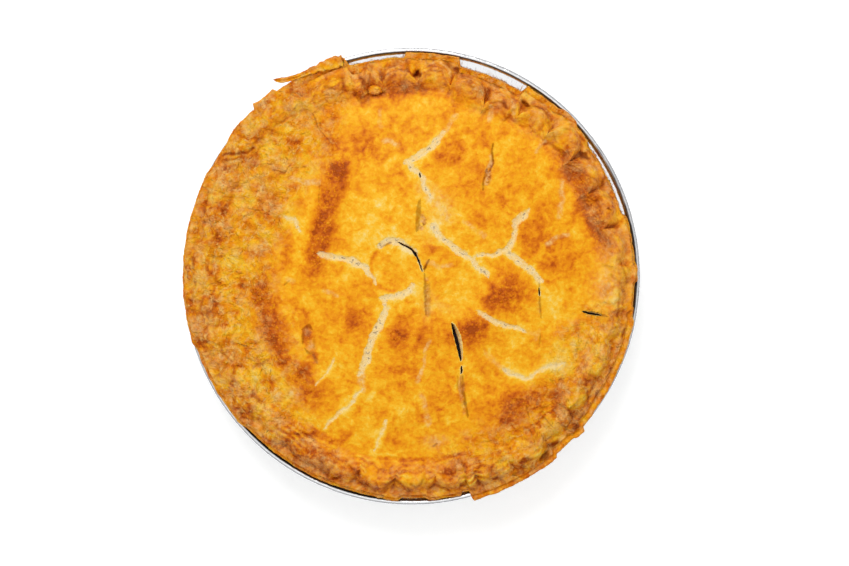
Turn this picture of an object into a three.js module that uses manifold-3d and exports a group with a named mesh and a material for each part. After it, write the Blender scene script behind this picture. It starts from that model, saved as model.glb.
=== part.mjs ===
// A covered fruit pie, baked and left in its foil tin: the tin, the base crust that lines it,
// the filling, and the lid crust with its fluted rim, steam slits and baked cracks.
// Millimetres, +Z up, +X to the right and +Y to the back. The origin is the middle of the tin's
// underside, where the pie rests.
import * as THREE from "three";
import { mergeVertices } from "three/addons/utils/BufferGeometryUtils.js";
import Module from "manifold-3d";

const wasm = await Module();
wasm.setup();

// Driving dimensions.
const tinRadius = 114.5; // outside of the rolled bead
const tinHeight = 30; // table to the top of the bead
const beadRadius = 1.4;
const foil = 0.5; // thickness of the pressed foil
const floorRadius = 86.5; // where the floor meets the side
const mouthRadius = 103.2; // where the side meets the flange
const flangeDrop = 2.6; // flange's inner edge below the bead's top
const flangeSlope = 0.12; // the flange's rise towards the bead
const gap = 0.3; // clearance between neighbouring pieces
const pastry = 3.2; // thickness of the rolled dough
const ledgeTop = 32.4; // top of the base crust's ledge on the flange
const edgeRadius = 113; // usual reach of the ledge
const domeRise = 8.4; // lid's underside, middle above its edge
const domeRadius = 97; // where the lid leaves the ledge
const rimWidth = 17; // width of the fluted rim, edge to valley
const crestFromEdge = 8; // the flute's crest, in from the lid's edge
const crestReach = 7; // how far the crest's slopes run to either side
const crestRise = 5.5; // crest above the pastry at its foot
const fluteCount = 34;
const fluteStart = 9.2; // degrees anticlockwise from +X to the middle of a lump
const fluteSwing = 6; // how far the crest wanders in and out
const lidEdgeTop = 34; // top of the lid's thin outer edge
const roughness = 0.45; // rise and fall of the rim's uneven skin

const degree = Math.PI / 180;

// Stretches of the rim, in degrees anticlockwise from +X, where the base crust's edge stands
// out beyond edgeRadius or has drawn back from it.
const edgeLobes = [
  { from: 3, to: 16, out: -1.4, soft: 2 },
  { from: 16, to: 37, out: -3.4, soft: 2 },
  { from: 37, to: 42.5, out: -1.8, soft: 2 },
  { from: 48, to: 58.9, out: -1.9, soft: 3 },
  { from: 58.9, to: 77.2, out: -5.6, soft: 1.2 },
  { from: 77.2, to: 91.7, out: -1.3, soft: 2 },
  { from: 91.7, to: 106.8, out: -3.6, soft: 1 },
  { from: 106.8, to: 126.3, out: 1.5, soft: 2 },
  { from: 126.3, to: 133, out: 3.2, soft: 1 },
  { from: 133, to: 143, out: 2, soft: 4 },
  { from: 143, to: 152, out: 0.5, soft: 4 },
  { from: 152, to: 198, out: 1.2, soft: 4 },
  { from: 222, to: 262, out: -1.7, soft: 4 },
  { from: 262, to: 267, out: -0.8, soft: 1.5 },
  { from: 267, to: 274, out: -2.3, soft: 1.5 },
  { from: 274, to: 283, out: -1, soft: 2 },
  { from: 283, to: 285.2, out: -2.2, soft: 0.6 },
  { from: 285.2, to: 309, out: 3.2, soft: 0.5 },
  { from: 309, to: 315.3, out: 1.4, soft: 0.5 },
  { from: 315.3, to: 318.5, out: 2.7, soft: 0.8 },
  { from: 318.5, to: 323, out: 1, soft: 2 },
  { from: 323, to: 348, out: 0.4, soft: 3 },
  { from: 349, to: 352, out: -0.7, soft: 1 },
  { from: 352, to: 358.6, out: -1.6, soft: 1 },
];
// How much of the ledge shows outside the lid, and where it is wider than usual.
const usualLedge = 0.9;
const wideLedges = [
  { from: 44, to: 92, out: 2.2, soft: 4 },
  { from: 103, to: 122, out: 3.9, soft: 2 },
  { from: 200, to: 285, out: 0.6, soft: 4 },
  { from: 285, to: 308, out: 1.9, soft: 1 },
  { from: 308, to: 351, out: 2.5, soft: 2 },
];
// The flutes are crisp at the back right, softer at the front and nearly flat at the left,
// where the rim's crest is lower as well.
const faintFlute = 0.3;
const crispFlutes = [
  { from: 4, to: 106, out: 0.7, soft: 10 },
  { from: 228, to: 352, out: 0.4, soft: 8 },
];
const flatCrest = [
  { from: 122, to: 226, out: 0.55, soft: 30 },
  { from: 300, to: 345, out: 0.2, soft: 14 },
];

// Low swells and hollows of the lid: middle, half length along `turn`, half width, rise.
const swells = [
  { x: -42.5, y: 30, long: 34, wide: 7, turn: 74, up: 1.8 },
  { x: -60, y: -41, long: 30, wide: 8, turn: -57, up: 1.5 },
  { x: 44.7, y: -8.8, long: 13, wide: 9, turn: 40, up: 1.2 },
  { x: 30.7, y: -25.8, long: 10, wide: 8, turn: 30, up: 1 },
  { x: 49.2, y: -64.3, long: 18, wide: 10, turn: 25, up: 1.5 },
  { x: 88, y: 31, long: 22, wide: 6, turn: -68, up: 0.9 },
  { x: 12, y: -28, long: 26, wide: 9, turn: 8, up: 0.8 },
  { x: 15, y: 40, long: 48, wide: 36, turn: 0, up: 1.2 },
  { x: -78, y: 14, long: 40, wide: 13, turn: 84, up: -1.6 },
  { x: 8, y: -96, long: 34, wide: 5, turn: 2, up: 1 },
];

// Open steam slits, cut through the lid.
const slits = [
  { line: [[19.9, -23.2], [22.4, -32], [24.6, -42.2]], width: 2.4 },
  { line: [[24.9, -44.4], [24.6, -48.5]], width: 1.1 },
  { line: [[85, -17.5], [91, -18.8], [97, -20]], width: 1.2 },
  { line: [[63.2, -6], [63.6, -9.5]], width: 0.9 },
  { line: [[-2.6, 15.2], [1.3, 12], [3.7, 7.5], [5.3, 2.2]], width: 1.1 },
];
// Splits in the browned skin, sunk into the pastry and not through it.
const splits = [
  { line: [[19.2, 76.6], [10.2, 65.1], [-2.2, 56.6]], width: 2.2 },
  { line: [[-2.2, 56.6], [4.2, 51.1], [7.2, 43.6], [13.2, 32.1]], width: 1.8 },
  { line: [[9.7, 24.6], [21.7, 13.6], [29.2, 8.6], [37.2, 1.1]], width: 2.4 },
  { line: [[58.7, 33.1], [51.2, 27.1], [51.2, 19.6], [47.2, 13.1]], width: 2 },
  { line: [[34.2, 11.1], [47.2, 13.1], [58.7, 3.6], [63.7, -1.4]], width: 2.4 },
  { line: [[-45.7, 10.8], [-29.7, 7.9], [-22.7, 3.6], [-17.7, -2]], width: 2.2 },
  { line: [[-11.7, -16.3], [-19.7, -31.8], [-25.7, -47.3]], width: 3 },
  { line: [[-24.2, -57.8], [-31.2, -64.3], [-41.7, -73.8]], width: 1.4 },
  { line: [[33.2, -17.8], [47.2, -24.3], [56.2, -27.3]], width: 2 },
  { line: [[37.2, -38.3], [46.2, -46.3], [56.7, -50.8]], width: 1.8 },
  { line: [[56.7, -50.8], [69.2, -44.8], [75.7, -43.3]], width: 1.6 },
  { line: [[26, -52.5], [26.6, -60], [27.2, -68]], width: 1.2 },
  { line: [[39.7, 63], [37.5, 53.5], [35.7, 44]], width: 2.6 },
  { line: [[4.4, 36.5], [4.4, 29], [3.2, 22]], width: 2.6 },
  { line: [[-51.2, -24.5], [-49.5, -34], [-47.2, -43]], width: 3.4 },
  { line: [[-14.2, -10.8], [-6.7, -9.8], [1.2, -5.8]], width: 1.8 },
];
const splitDepth = 1.1;
const pressedRing = { x: -8, y: 4.6, radius: 12, from: 85, to: 235, width: 1, depth: 0.6 };

// A scrap of dough that lies along the edge at the back left and sticks out past the tin, and
// a curl of dough on the lid below the rim.
const scrap = {
  line: [[-34, 107.6], [-45, 104.4], [-55, 100.5], [-62, 98.2], [-69, 98.1]],
  width: 6,
  tip: 2.2,
  low: 31.4,
  high: 34.8,
};
const curl = { x: -17.3, y: 93, long: 8.4, wide: 4.6, high: 3.6, turn: 4 };

// Shaping helpers.
const smooth = (a, b, x) => THREE.MathUtils.smoothstep(x, a, b);
const bell = (t) => (Math.abs(t) < 1 ? (1 - t * t) ** 2 : 0);
const clamp01 = (t) => THREE.MathUtils.clamp(t, 0, 1);

// 1 inside the arc from `from` to `to` degrees, falling to 0 over `soft` degrees at each end.
function arc(theta, { from, to, soft }) {
  const middle = (from + to) / 2;
  const away = Math.abs(((theta / degree - middle + 540) % 360) - 180);
  return 1 - smooth((to - from) / 2 - soft / 2, (to - from) / 2 + soft / 2, away);
}

const sumOfArcs = (theta, arcs) => arcs.reduce((sum, a) => sum + a.out * arc(theta, a), 0);

// Smooth pseudo-random bumps between -1 and 1, `cell` millimetres apart.
function bumps(x, y, cell) {
  const corner = (i, j) => {
    const s = Math.sin(i * 127.1 + j * 311.7) * 43758.5453;
    return 2 * (s - Math.floor(s)) - 1;
  };
  const [u, v] = [x / cell, y / cell];
  const [i, j] = [Math.floor(u), Math.floor(v)];
  const [a, b] = [smooth(0, 1, u - i), smooth(0, 1, v - j)];
  const row = (k) => THREE.MathUtils.lerp(corner(i, k), corner(i + 1, k), a);
  return THREE.MathUtils.lerp(row(j), row(j + 1), b);
}

function swellAt(x, y) {
  let rise = 0;
  for (const s of swells) {
    const [c, n] = [Math.cos(s.turn * degree), Math.sin(s.turn * degree)];
    const along = ((x - s.x) * c + (y - s.y) * n) / s.long;
    const across = ((y - s.y) * c - (x - s.x) * n) / s.wide;
    rise += s.up * Math.exp(-along * along - across * across);
  }
  return rise;
}

const baseEdge = (theta) => edgeRadius + sumOfArcs(theta, edgeLobes);
const lidEdge = (theta) => baseEdge(theta) - usualLedge - sumOfArcs(theta, wideLedges);
const lidFloor = (r) =>
  ledgeTop + gap + (r < domeRadius ? domeRise * (1 - (r / domeRadius) ** 2.3) : 0);

// How full the flute is at an angle: 0 in the pinched V between two lumps, 1 on a lump.
function lump(theta) {
  const even = fluteCount * (theta - fluteStart * degree) + Math.PI;
  const drift = 0.95 * (1 - Math.cos(theta - 50 * degree)) + 0.2 * Math.sin(7 * theta + 40 * degree);
  return Math.abs(Math.sin((even + drift) / 2)) ** 0.7;
}

// The lid's top, `inward` millimetres in from its edge: the crest swings out on a lump and in
// at a V, and the outer slope is pinched away at a V.
function lidTop(theta, inward) {
  const crisp = faintFlute + sumOfArcs(theta, crispFlutes);
  const full = lump(theta);
  const swing = fluteSwing * crisp * (full - 0.55) * bell((inward - crestFromEdge) / (crestReach + 2));
  const r = Math.max(lidEdge(theta) - inward, 0) + swing;
  const [x, y] = [r * Math.cos(theta), r * Math.sin(theta)];
  const shell = lidFloor(r) + pastry;
  const foot = THREE.MathUtils.lerp(lidEdgeTop, shell, smooth(0, rimWidth - 2, inward));
  const pinch = 1 - (inward < crestFromEdge ? 0.7 : 0.3) * crisp * (1 - full);
  const height = crestRise * (1 - sumOfArcs(theta, flatCrest));
  const crest = height * pinch * bell((inward - crestFromEdge) / crestReach);
  const rough = roughness * bumps(x, y, 5) * (1 - smooth(14, 30, inward)) * smooth(0, 2, inward);
  const swell = swellAt(x, y) * smooth(rimWidth - 5, rimWidth + 7, inward);
  return new THREE.Vector3(x, y, foot + crest + rough + swell);
}

const onCircle = (theta, r, z) => new THREE.Vector3(r * Math.cos(theta), r * Math.sin(theta), z);
const ring = (count, pointAt) =>
  Array.from({ length: count }, (_, i) => pointAt((2 * Math.PI * i) / count));

// Sews rings of points, which may differ in count, into one closed surface. The first and
// last entries are single points, and the rings run from the top, over the edge, to below.
function sewRings(rings) {
  const starts = [];
  const points = [];
  for (const r of rings) {
    starts.push(points.length);
    points.push(...r);
  }
  const faces = [];
  for (let k = 0; k + 1 < rings.length; k++) {
    const [na, nb] = [rings[k].length, rings[k + 1].length];
    const a = (i) => starts[k] + (i % na);
    const b = (j) => starts[k + 1] + (j % nb);
    let [i, j] = [0, 0];
    while (i < (na > 1 ? na : 0) || j < (nb > 1 ? nb : 0)) {
      const stepA = na > 1 && i < na && (nb === 1 || j >= nb || (i + 1) / na <= (j + 1) / nb);
      faces.push(stepA ? [a(i), b(j), a(i + 1)] : [a(i), b(j), b(j + 1)]);
      if (stepA) i++;
      else j++;
    }
  }
  return new THREE.BufferGeometry()
    .setAttribute("position", new THREE.Float32BufferAttribute(points.flatMap((p) => [p.x, p.y, p.z]), 3))
    .setIndex(faces.flat());
}

// A closed bar along a line in plan. widthAt and heightsAt say how wide it is, and its low and
// high z, at a share t of its length.
function bar(line, steps, widthAt, heightsAt) {
  const curve = new THREE.CatmullRomCurve3(line.map(([x, y]) => new THREE.Vector3(x, y, 0)));
  const points = [];
  for (let k = 0; k <= steps; k++) {
    const t = k / steps;
    const at = curve.getPointAt(t);
    const ahead = curve.getTangentAt(t);
    const half = widthAt(t) / 2;
    const side = new THREE.Vector3(-ahead.y, ahead.x, 0).multiplyScalar(half);
    const [low, high] = heightsAt(at.x, at.y, t);
    for (const [s, z] of [[1, low], [-1, low], [-1, high], [1, high]]) {
      points.push(at.x + s * side.x, at.y + s * side.y, z);
    }
  }
  const faces = [0, 1, 2, 0, 2, 3];
  for (let k = 0; k < steps; k++) {
    for (let c = 0; c < 4; c++) {
      const [p, q] = [4 * k + c, 4 * k + ((c + 1) % 4)];
      faces.push(p, q + 4, q, p, p + 4, q + 4);
    }
  }
  const e = 4 * steps;
  faces.push(e, e + 2, e + 1, e, e + 3, e + 2);
  return new THREE.BufferGeometry()
    .setAttribute("position", new THREE.Float32BufferAttribute(points, 3))
    .setIndex(faces);
}

function toSolid(geometry) {
  const bare = new THREE.BufferGeometry().setAttribute("position", geometry.getAttribute("position"));
  if (geometry.index) bare.setIndex(geometry.index);
  const merged = mergeVertices(bare, 1e-4);
  return new wasm.Manifold(
    new wasm.Mesh({
      numProp: 3,
      vertProperties: new Float32Array(merged.getAttribute("position").array),
      triVerts: new Uint32Array(merged.index.array),
    }),
  );
}

function toGeometry(solid) {
  const mesh = solid.getMesh();
  const geometry = new THREE.BufferGeometry()
    .setAttribute("position", new THREE.BufferAttribute(mesh.vertProperties, 3))
    .setIndex(new THREE.BufferAttribute(mesh.triVerts, 1));
  geometry.computeVertexNormals();
  return geometry;
}

// The foil's middle line from the axis to the bead, [radius, z] in THREE.Vector2: a floor with
// one stiffening ring pressed up into it, the side, and the flange.
const beadCentre = new THREE.Vector2(tinRadius - beadRadius, tinHeight - beadRadius);
const floorZ = foil / 2;
const floorRibRise = 1;
const flangeZ = tinHeight - flangeDrop;

function rounded(before, corner, after, radius, steps) {
  const [toBefore, toAfter] = [before, after].map((p) => p.clone().sub(corner).normalize());
  const [start, end] = [toBefore, toAfter].map((d) => corner.clone().addScaledVector(d, radius));
  return new THREE.QuadraticBezierCurve(start, corner, end).getPoints(steps);
}

function tinLine() {
  const at = (r, z) => new THREE.Vector2(r, z);
  const ribTop = floorZ + floorRibRise;
  const floorRib = [at(54, floorZ), at(56, ribTop), at(61, ribTop), at(63, floorZ)];
  const heel = at(floorRadius, floorZ);
  const mouth = at(mouthRadius, flangeZ);
  const lipRadius = beadCentre.x - beadRadius + 0.1;
  const lip = at(lipRadius, flangeZ + flangeSlope * (lipRadius - mouthRadius));
  return [
    at(0, floorZ),
    ...floorRib,
    ...rounded(floorRib[3], heel, mouth, 4, 2),
    ...rounded(heel, mouth, lip, 2, 2),
    lip,
  ];
}

// A line beside another, `distance` to its upper (left) side, mitred at the corners.
function beside(line, distance) {
  return line.map((p, i) => {
    const [a, b] = [line[Math.max(i - 1, 0)], line[Math.min(i + 1, line.length - 1)]];
    const normals = [[a, p], [p, b]]
      .filter(([u, v]) => u !== v)
      .map(([u, v]) => v.clone().sub(u).normalize())
      .map((d) => new THREE.Vector2(-d.y, d.x));
    const n = normals.reduce((s, m) => s.clone().add(m)).normalize();
    return p.clone().addScaledVector(n, distance / n.dot(normals[0]));
  });
}

function foilTin() {
  const line = tinLine();
  const beadSteps = 6;
  const bead = Array.from({ length: beadSteps + 1 }, (_, i) => {
    const turn = (-150 + (300 * i) / beadSteps) * degree;
    return new THREE.Vector2(beadRadius, 0).rotateAround(new THREE.Vector2(), turn).add(beadCentre);
  });
  const below = beside(line, -foil / 2);
  const above = beside(line, foil / 2).reverse();
  below[0].x = 0;
  above[above.length - 1].x = 0;
  const segments = 52;
  return new THREE.LatheGeometry([...below, ...bead, ...above], segments).rotateX(Math.PI / 2);
}

// Underside of the ledge: along the flange, then up and over the bead where it reaches that far.
const flangeTop = (r) => flangeZ + foil / 2 + flangeSlope * (r - mouthRadius);
const ledgeFloor = (r) =>
  gap + THREE.MathUtils.lerp(flangeTop(r), tinHeight + 0.05, smooth(107.5, 110.6, r));

// The tin's side from its heel to a little below its mouth, and the highest point of its floor.
const wallLine = () => tinLine().filter((p) => p.x > floorRadius - 6 && p.x < mouthRadius);
const innerFloor = floorZ + floorRibRise + foil / 2;
const wallCount = 48;

function baseCrust() {
  const outer = beside(tinLine().slice(0, -1), foil / 2 + gap).filter((p) => p.x > 0);
  const inner = beside(wallLine(), foil / 2 + gap + pastry);
  const shown = 3 * fluteCount;
  const onBead = (t) => Math.min(baseEdge(t) - 1.6, edgeRadius - 2.4);
  const lipAt = (t) => 0.25 * sumOfArcs(t, wideLedges);
  // The lid's edge is sampled more finely than the ledge, which starts outside all of it.
  const widestLid = (t) => Math.max(...[-1, 0, 1].map((k) => lidEdge(t + (k * Math.PI) / shown)));
  const ledgeStart = (t) => Math.min(widestLid(t) + 0.2, baseEdge(t) - 0.7);
  const floorTop = innerFloor + gap + pastry;
  const up = inner.map((p) => ring(wallCount, (t) => onCircle(t, p.x, Math.max(p.y, floorTop))));
  const ledge = [
    ring(wallCount, (t) => onCircle(t, domeRadius + 1.2, ledgeTop)),
    ring(shown, (t) => onCircle(t, ledgeStart(t), ledgeTop)),
    ring(shown, (t) => onCircle(t, baseEdge(t) - 0.5, ledgeTop + lipAt(t))),
    ring(shown, (t) => onCircle(t, baseEdge(t), ledgeTop - 0.7)),
    ring(shown, (t) => onCircle(t, baseEdge(t) - 0.6, ledgeFloor(baseEdge(t)))),
    ring(shown, (t) => onCircle(t, onBead(t), ledgeFloor(onBead(t)))),
  ];
  const down = outer.reverse().map((p) => ring(wallCount, (t) => onCircle(t, p.x, p.y)));
  const shell = sewRings([
    [new THREE.Vector3(0, 0, floorTop)],
    ...up,
    ...ledge,
    ...down,
    [new THREE.Vector3(0, 0, floorZ + foil / 2 + gap)],
  ]);
  const taper = (t) => THREE.MathUtils.lerp(scrap.width, scrap.tip, smooth(0.1, 0.6, t));
  const lie = (x, y, t) => [scrap.low + 1.2 * t, scrap.high - 0.9 * t + 0.3 * Math.sin(9 * t)];
  const strip = bar(scrap.line, 8, taper, lie);
  return toGeometry(toSolid(shell).add(toSolid(strip)));
}

// Rings that the lid's underside and the filling's top share, so that they stay `gap` apart.
const domeRings = [
  { r: 24, count: 18 },
  { r: 48, count: 30 },
  { r: 70, count: 40 },
  { r: 86, count: 48 },
];

function filling() {
  const wall = beside(wallLine(), foil / 2 + 2 * gap + pastry);
  const floor = innerFloor + 2 * gap + pastry;
  return sewRings([
    [new THREE.Vector3(0, 0, lidFloor(0) - gap)],
    ...domeRings.map(({ r, count }) => ring(count, (t) => onCircle(t, r, lidFloor(r) - gap))),
    ring(wallCount, (t) => onCircle(t, domeRadius, ledgeTop)),
    ...wall.reverse().map((p) => ring(wallCount, (t) => onCircle(t, p.x, Math.max(p.y, floor)))),
    [new THREE.Vector3(0, 0, floor)],
  ]);
}

function lidCrust() {
  const rimCount = 6 * fluteCount;
  const domeTop = [
    { r: 8, count: 14 },
    { r: 19, count: 30 },
    { r: 31, count: 44 },
    { r: 43, count: 58 },
    { r: 55, count: 70 },
    { r: 67, count: 84 },
    { r: 78, count: 104 },
  ];
  const rimSteps = [21, 16.5, 13.5, 11, 9, 7, 5, 2.8, 0.8];
  const domeAt = (t, r) => lidTop(t, lidEdge(t) - r);
  const surface = [
    [lidTop(0, lidEdge(0))],
    ...domeTop.map(({ r, count }) => ring(count, (t) => domeAt(t, r))),
    ...rimSteps.map((inward) => ring(rimCount, (t) => lidTop(t, inward))),
    ring(rimCount, (t) => onCircle(t, lidEdge(t), ledgeTop + gap + 0.8)),
    ring(rimCount, (t) => onCircle(t, lidEdge(t) - 0.3, ledgeTop + gap)),
    ring(wallCount, (t) => onCircle(t, domeRadius, ledgeTop + gap)),
    ...[...domeRings].reverse().map(({ r, count }) => ring(count, (t) => onCircle(t, r, lidFloor(r)))),
    [new THREE.Vector3(0, 0, lidFloor(0))],
  ];
  let lid = toSolid(sewRings(surface));

  const topAt = (x, y) => {
    const theta = Math.atan2(y, x);
    return lidTop(theta, lidEdge(theta) - Math.hypot(x, y)).z;
  };
  const above = 60;
  const lens = (width) => (t) => width * (0.25 + 0.75 * Math.sin(Math.PI * clamp01(t)) ** 0.6);
  for (const { line, width } of slits) {
    lid = lid.subtract(toSolid(bar(line, 6, lens(width), () => [ledgeTop, above])));
  }
  for (const { line, width } of splits) {
    const floorAt = (x, y) => [topAt(x, y) - splitDepth, above];
    lid = lid.subtract(toSolid(bar(line, 4, lens(width), floorAt)));
  }
  const { x, y, radius, from, to, width, depth } = pressedRing;
  const ringLine = Array.from({ length: 9 }, (_, i) => {
    const turn = (from + ((to - from) * i) / 8) * degree;
    return [x + radius * Math.cos(turn), y + radius * Math.sin(turn)];
  });
  lid = lid.subtract(toSolid(bar(ringLine, 12, () => width, (px, py) => [topAt(px, py) - depth, above])));

  const roll = new THREE.SphereGeometry(1, 10, 6)
    .scale(curl.long / 2, curl.wide / 2, curl.high / 2)
    .rotateZ(curl.turn * degree)
    .translate(curl.x, curl.y, topAt(curl.x, curl.y) + 0.6);
  return toGeometry(lid.add(toSolid(roll)));
}

const materials = {
  foil: new THREE.MeshStandardMaterial({ color: 0xd9dadb, roughness: 0.28, metalness: 1 }),
  baseCrust: new THREE.MeshStandardMaterial({ color: 0xdb9434, roughness: 0.72, metalness: 0 }),
  filling: new THREE.MeshStandardMaterial({ color: 0x1c0714, roughness: 0.3, metalness: 0 }),
  lidCrust: new THREE.MeshStandardMaterial({ color: 0xeb9a28, roughness: 0.6, metalness: 0 }),
};

const pie = new THREE.Group();
for (const [name, geometry, material] of [
  ["foil_tin", foilTin(), materials.foil],
  ["base_crust", baseCrust(), materials.baseCrust],
  ["blueberry_filling", filling(), materials.filling],
  ["lid_crust", lidCrust(), materials.lidCrust],
]) {
  const mesh = new THREE.Mesh(geometry, material);
  mesh.name = name;
  pie.add(mesh);
}

export default pie;
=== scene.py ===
import bpy
import numpy as np
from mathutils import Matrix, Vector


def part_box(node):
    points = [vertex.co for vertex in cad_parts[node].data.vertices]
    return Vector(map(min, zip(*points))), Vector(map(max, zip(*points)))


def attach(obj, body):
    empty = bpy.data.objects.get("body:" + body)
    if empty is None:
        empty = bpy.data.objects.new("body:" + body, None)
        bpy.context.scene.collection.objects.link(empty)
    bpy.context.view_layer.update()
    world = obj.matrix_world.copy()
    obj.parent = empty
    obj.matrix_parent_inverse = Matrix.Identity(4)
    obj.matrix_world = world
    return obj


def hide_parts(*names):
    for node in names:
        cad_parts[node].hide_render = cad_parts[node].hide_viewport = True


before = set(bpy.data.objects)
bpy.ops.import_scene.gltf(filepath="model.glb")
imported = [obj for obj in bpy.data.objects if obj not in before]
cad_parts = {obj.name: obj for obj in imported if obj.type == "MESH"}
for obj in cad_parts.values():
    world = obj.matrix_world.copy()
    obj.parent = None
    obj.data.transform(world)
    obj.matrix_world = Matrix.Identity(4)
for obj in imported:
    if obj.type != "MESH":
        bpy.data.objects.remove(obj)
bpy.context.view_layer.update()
mm = 0.001

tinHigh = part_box("foil_tin")[1]
tinRadius = tinHigh.x / mm
tinHeight = tinHigh.z / mm

# Numbers that several pieces share.
tin = {
    "beadRadius": 1.4,
    "foil": 0.5,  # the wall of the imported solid
    "floorRadius": 86.5,
    "mouthRadius": 103.2,
    "flangeDrop": 2.6,  # flange's inner edge below the bead's top
    "flangeSlope": 0.12,
    "floorRib": ((54, 0), (56, 1), (61, 1), (63, 0)),  # radius and rise of the ring in the floor
}

dough = {
    "gap": 0.3,
    "thickness": 3.2,
    "ledgeTop": 32.4,
    "edgeRadius": 113,
    "domeRise": 8.4,
    "domeRadius": 97,
    "usualLedge": 0.9,
    # from, to, outwards, softness of the ends
    "lobes": (
        (3, 16, -1.4, 2), (16, 37, -3.4, 2), (37, 42.5, -1.8, 2), (48, 58.9, -1.9, 3),
        (58.9, 77.2, -5.6, 1.2), (77.2, 91.7, -1.3, 2), (91.7, 106.8, -3.6, 1),
        (106.8, 126.3, 1.5, 2), (126.3, 133, 3.2, 1), (133, 143, 2, 4), (143, 152, 0.5, 4),
        (152, 198, 1.2, 4), (222, 262, -1.7, 4), (262, 267, -0.8, 1.5), (267, 274, -2.3, 1.5),
        (274, 283, -1, 2), (283, 285.2, -2.2, 0.6), (285.2, 309, 3.2, 0.5),
        (309, 315.3, 1.4, 0.5), (315.3, 318.5, 2.7, 0.8), (318.5, 323, 1, 2), (323, 348, 0.4, 3),
        (349, 352, -0.7, 1), (352, 358.6, -1.6, 1),
    ),
    "wideLedges": (
        (44, 92, 2.2, 4), (103, 122, 3.9, 2), (200, 285, 0.6, 4), (285, 308, 1.9, 1),
        (308, 351, 2.5, 2),
    ),
}


def smooth(a, b, x):
    # S step: 0 at a, 1 at b, flat outside
    t = np.clip((x - a) / (b - a), 0, 1)
    return t * t * (3 - 2 * t)


def mix(a, b, t):
    # from a to b by the share t
    return a + (b - a) * t


def bell(t):
    # (1 - t squared) squared inside -1..1, else 0
    return np.clip(1 - t * t, 0, None) ** 2


def peak(t):
    # e to the minus t squared: 1 at 0 and falling on both sides
    return np.exp(-t * t)


def signedPower(value, power):
    # the size of a value raised to a power, its sign kept
    return np.sign(value) * np.abs(value) ** power


def hashed(i, j, seed):
    # whole numbers scrambled to 0..1
    h = (i * 374761393 + j * 668265263 + seed * 974634777) & 0xFFFFFFFF
    h = ((h ^ (h >> 13)) * 1274126177) & 0xFFFFFFFF
    return ((h ^ (h >> 16)) & 0xFFFFFF) / 0xFFFFFF


def bumps(x, y, cell, seed):
    # gradient noise: a random slope at each corner of a square lattice, blended; about -1..1
    u, v = x / cell, y / cell
    i, j = np.floor(u).astype(np.int64), np.floor(v).astype(np.int64)
    fu, fv = u - i, v - j
    su, sv = (f * f * f * (f * (f * 6 - 15) + 10) for f in (fu, fv))

    def slope(di, dj):
        turn = 2 * np.pi * hashed(i + di, j + dj, seed)
        return np.cos(turn) * (fu - di) + np.sin(turn) * (fv - dj)

    low = mix(slope(0, 0), slope(1, 0), su)
    high = mix(slope(0, 1), slope(1, 1), su)
    return 1.5 * mix(low, high, sv)


def fractal(x, y, cell, octaves, seed):
    # bumps summed, each octave half as wide and half as high, turned a little from the last
    total, weight = 0, 0
    for k in range(octaves):
        c, s = np.cos(0.7 * k), np.sin(0.7 * k)
        total = total + bumps(c * x - s * y, s * x + c * y, cell / 2**k, seed + 17 * k) / 2**k
        weight += 0.5**k
    return total / weight


def folds(x, y, cell, octaves, seed):
    # ridged noise, 0..1: sharp crests where each octave's bumps cross zero
    total, weight = 0, 0
    for k in range(octaves):
        total = total + (1 - 2 * np.abs(bumps(x, y, cell / 2**k, seed + 13 * k))) / 1.8**k
        weight += 1.8**-k
    return np.clip(total / weight, 0, 1)


def cellGaps(x, y, cell, seed):
    # distance to the nearest and second nearest of points scattered one to a cell, in cells,
    # and a random number that belongs to the nearest
    u, v = x / cell, y / cell
    i, j = np.floor(u).astype(np.int64), np.floor(v).astype(np.int64)
    first = np.full(x.shape, 9.0)
    second, tint = first.copy(), np.zeros(x.shape)
    for di in (-1, 0, 1):
        for dj in (-1, 0, 1):
            a, b = i + di, j + dj
            d = np.hypot(a + hashed(a, b, seed) - u, b + hashed(a, b, seed + 1) - v)
            tint = np.where(d < first, hashed(a, b, seed + 2), tint)
            second = np.minimum(second, np.maximum(d, first))
            first = np.minimum(first, d)
    return first, second, tint


def layers(value, steps, crisp):
    # a smooth field cut into flat layers with short steep steps between them
    f = value * steps
    k = np.floor(f)
    return (k + smooth(1 - crisp, 1, f - k)) / steps, k.astype(np.int64)


def arcWindow(angle, start, end, soft):
    # 1 from start to end, 0 outside
    middle, half = (start + end) / 2, (end - start) / 2
    away = np.abs((angle - middle + 540) % 360 - 180)
    return 1 - smooth(half - soft / 2, half + soft / 2, away)


def sumOfArcs(angle, arcs):
    # each arc's amount times its window, added up
    total = np.zeros(np.shape(angle))
    for start, end, out, soft in arcs:
        total = total + out * arcWindow(angle, start, end, soft)
    return total


def lineGap(x, y, line):
    # distance to a bent line, the share of its length at the nearest point, and the side
    points = np.array(line, float)
    steps = np.diff(points, axis=0)
    lengths = np.hypot(steps[:, 0], steps[:, 1])
    starts = np.cumsum(lengths) - lengths
    best, share, side = np.full(x.shape, 1e3), np.zeros(x.shape), np.zeros(x.shape)
    for (px, py), (sx, sy), length, start in zip(points, steps, lengths, starts):
        t = np.clip(((x - px) * sx + (y - py) * sy) / length**2, 0, 1)
        d = np.hypot(x - px - t * sx, y - py - t * sy)
        near = d < best
        best = np.where(near, d, best)
        share = np.where(near, (start + t * length) / lengths.sum(), share)
        side = np.where(near, ((x - px) * sy - (y - py) * sx) / length, side)
    return best, share, side


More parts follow.
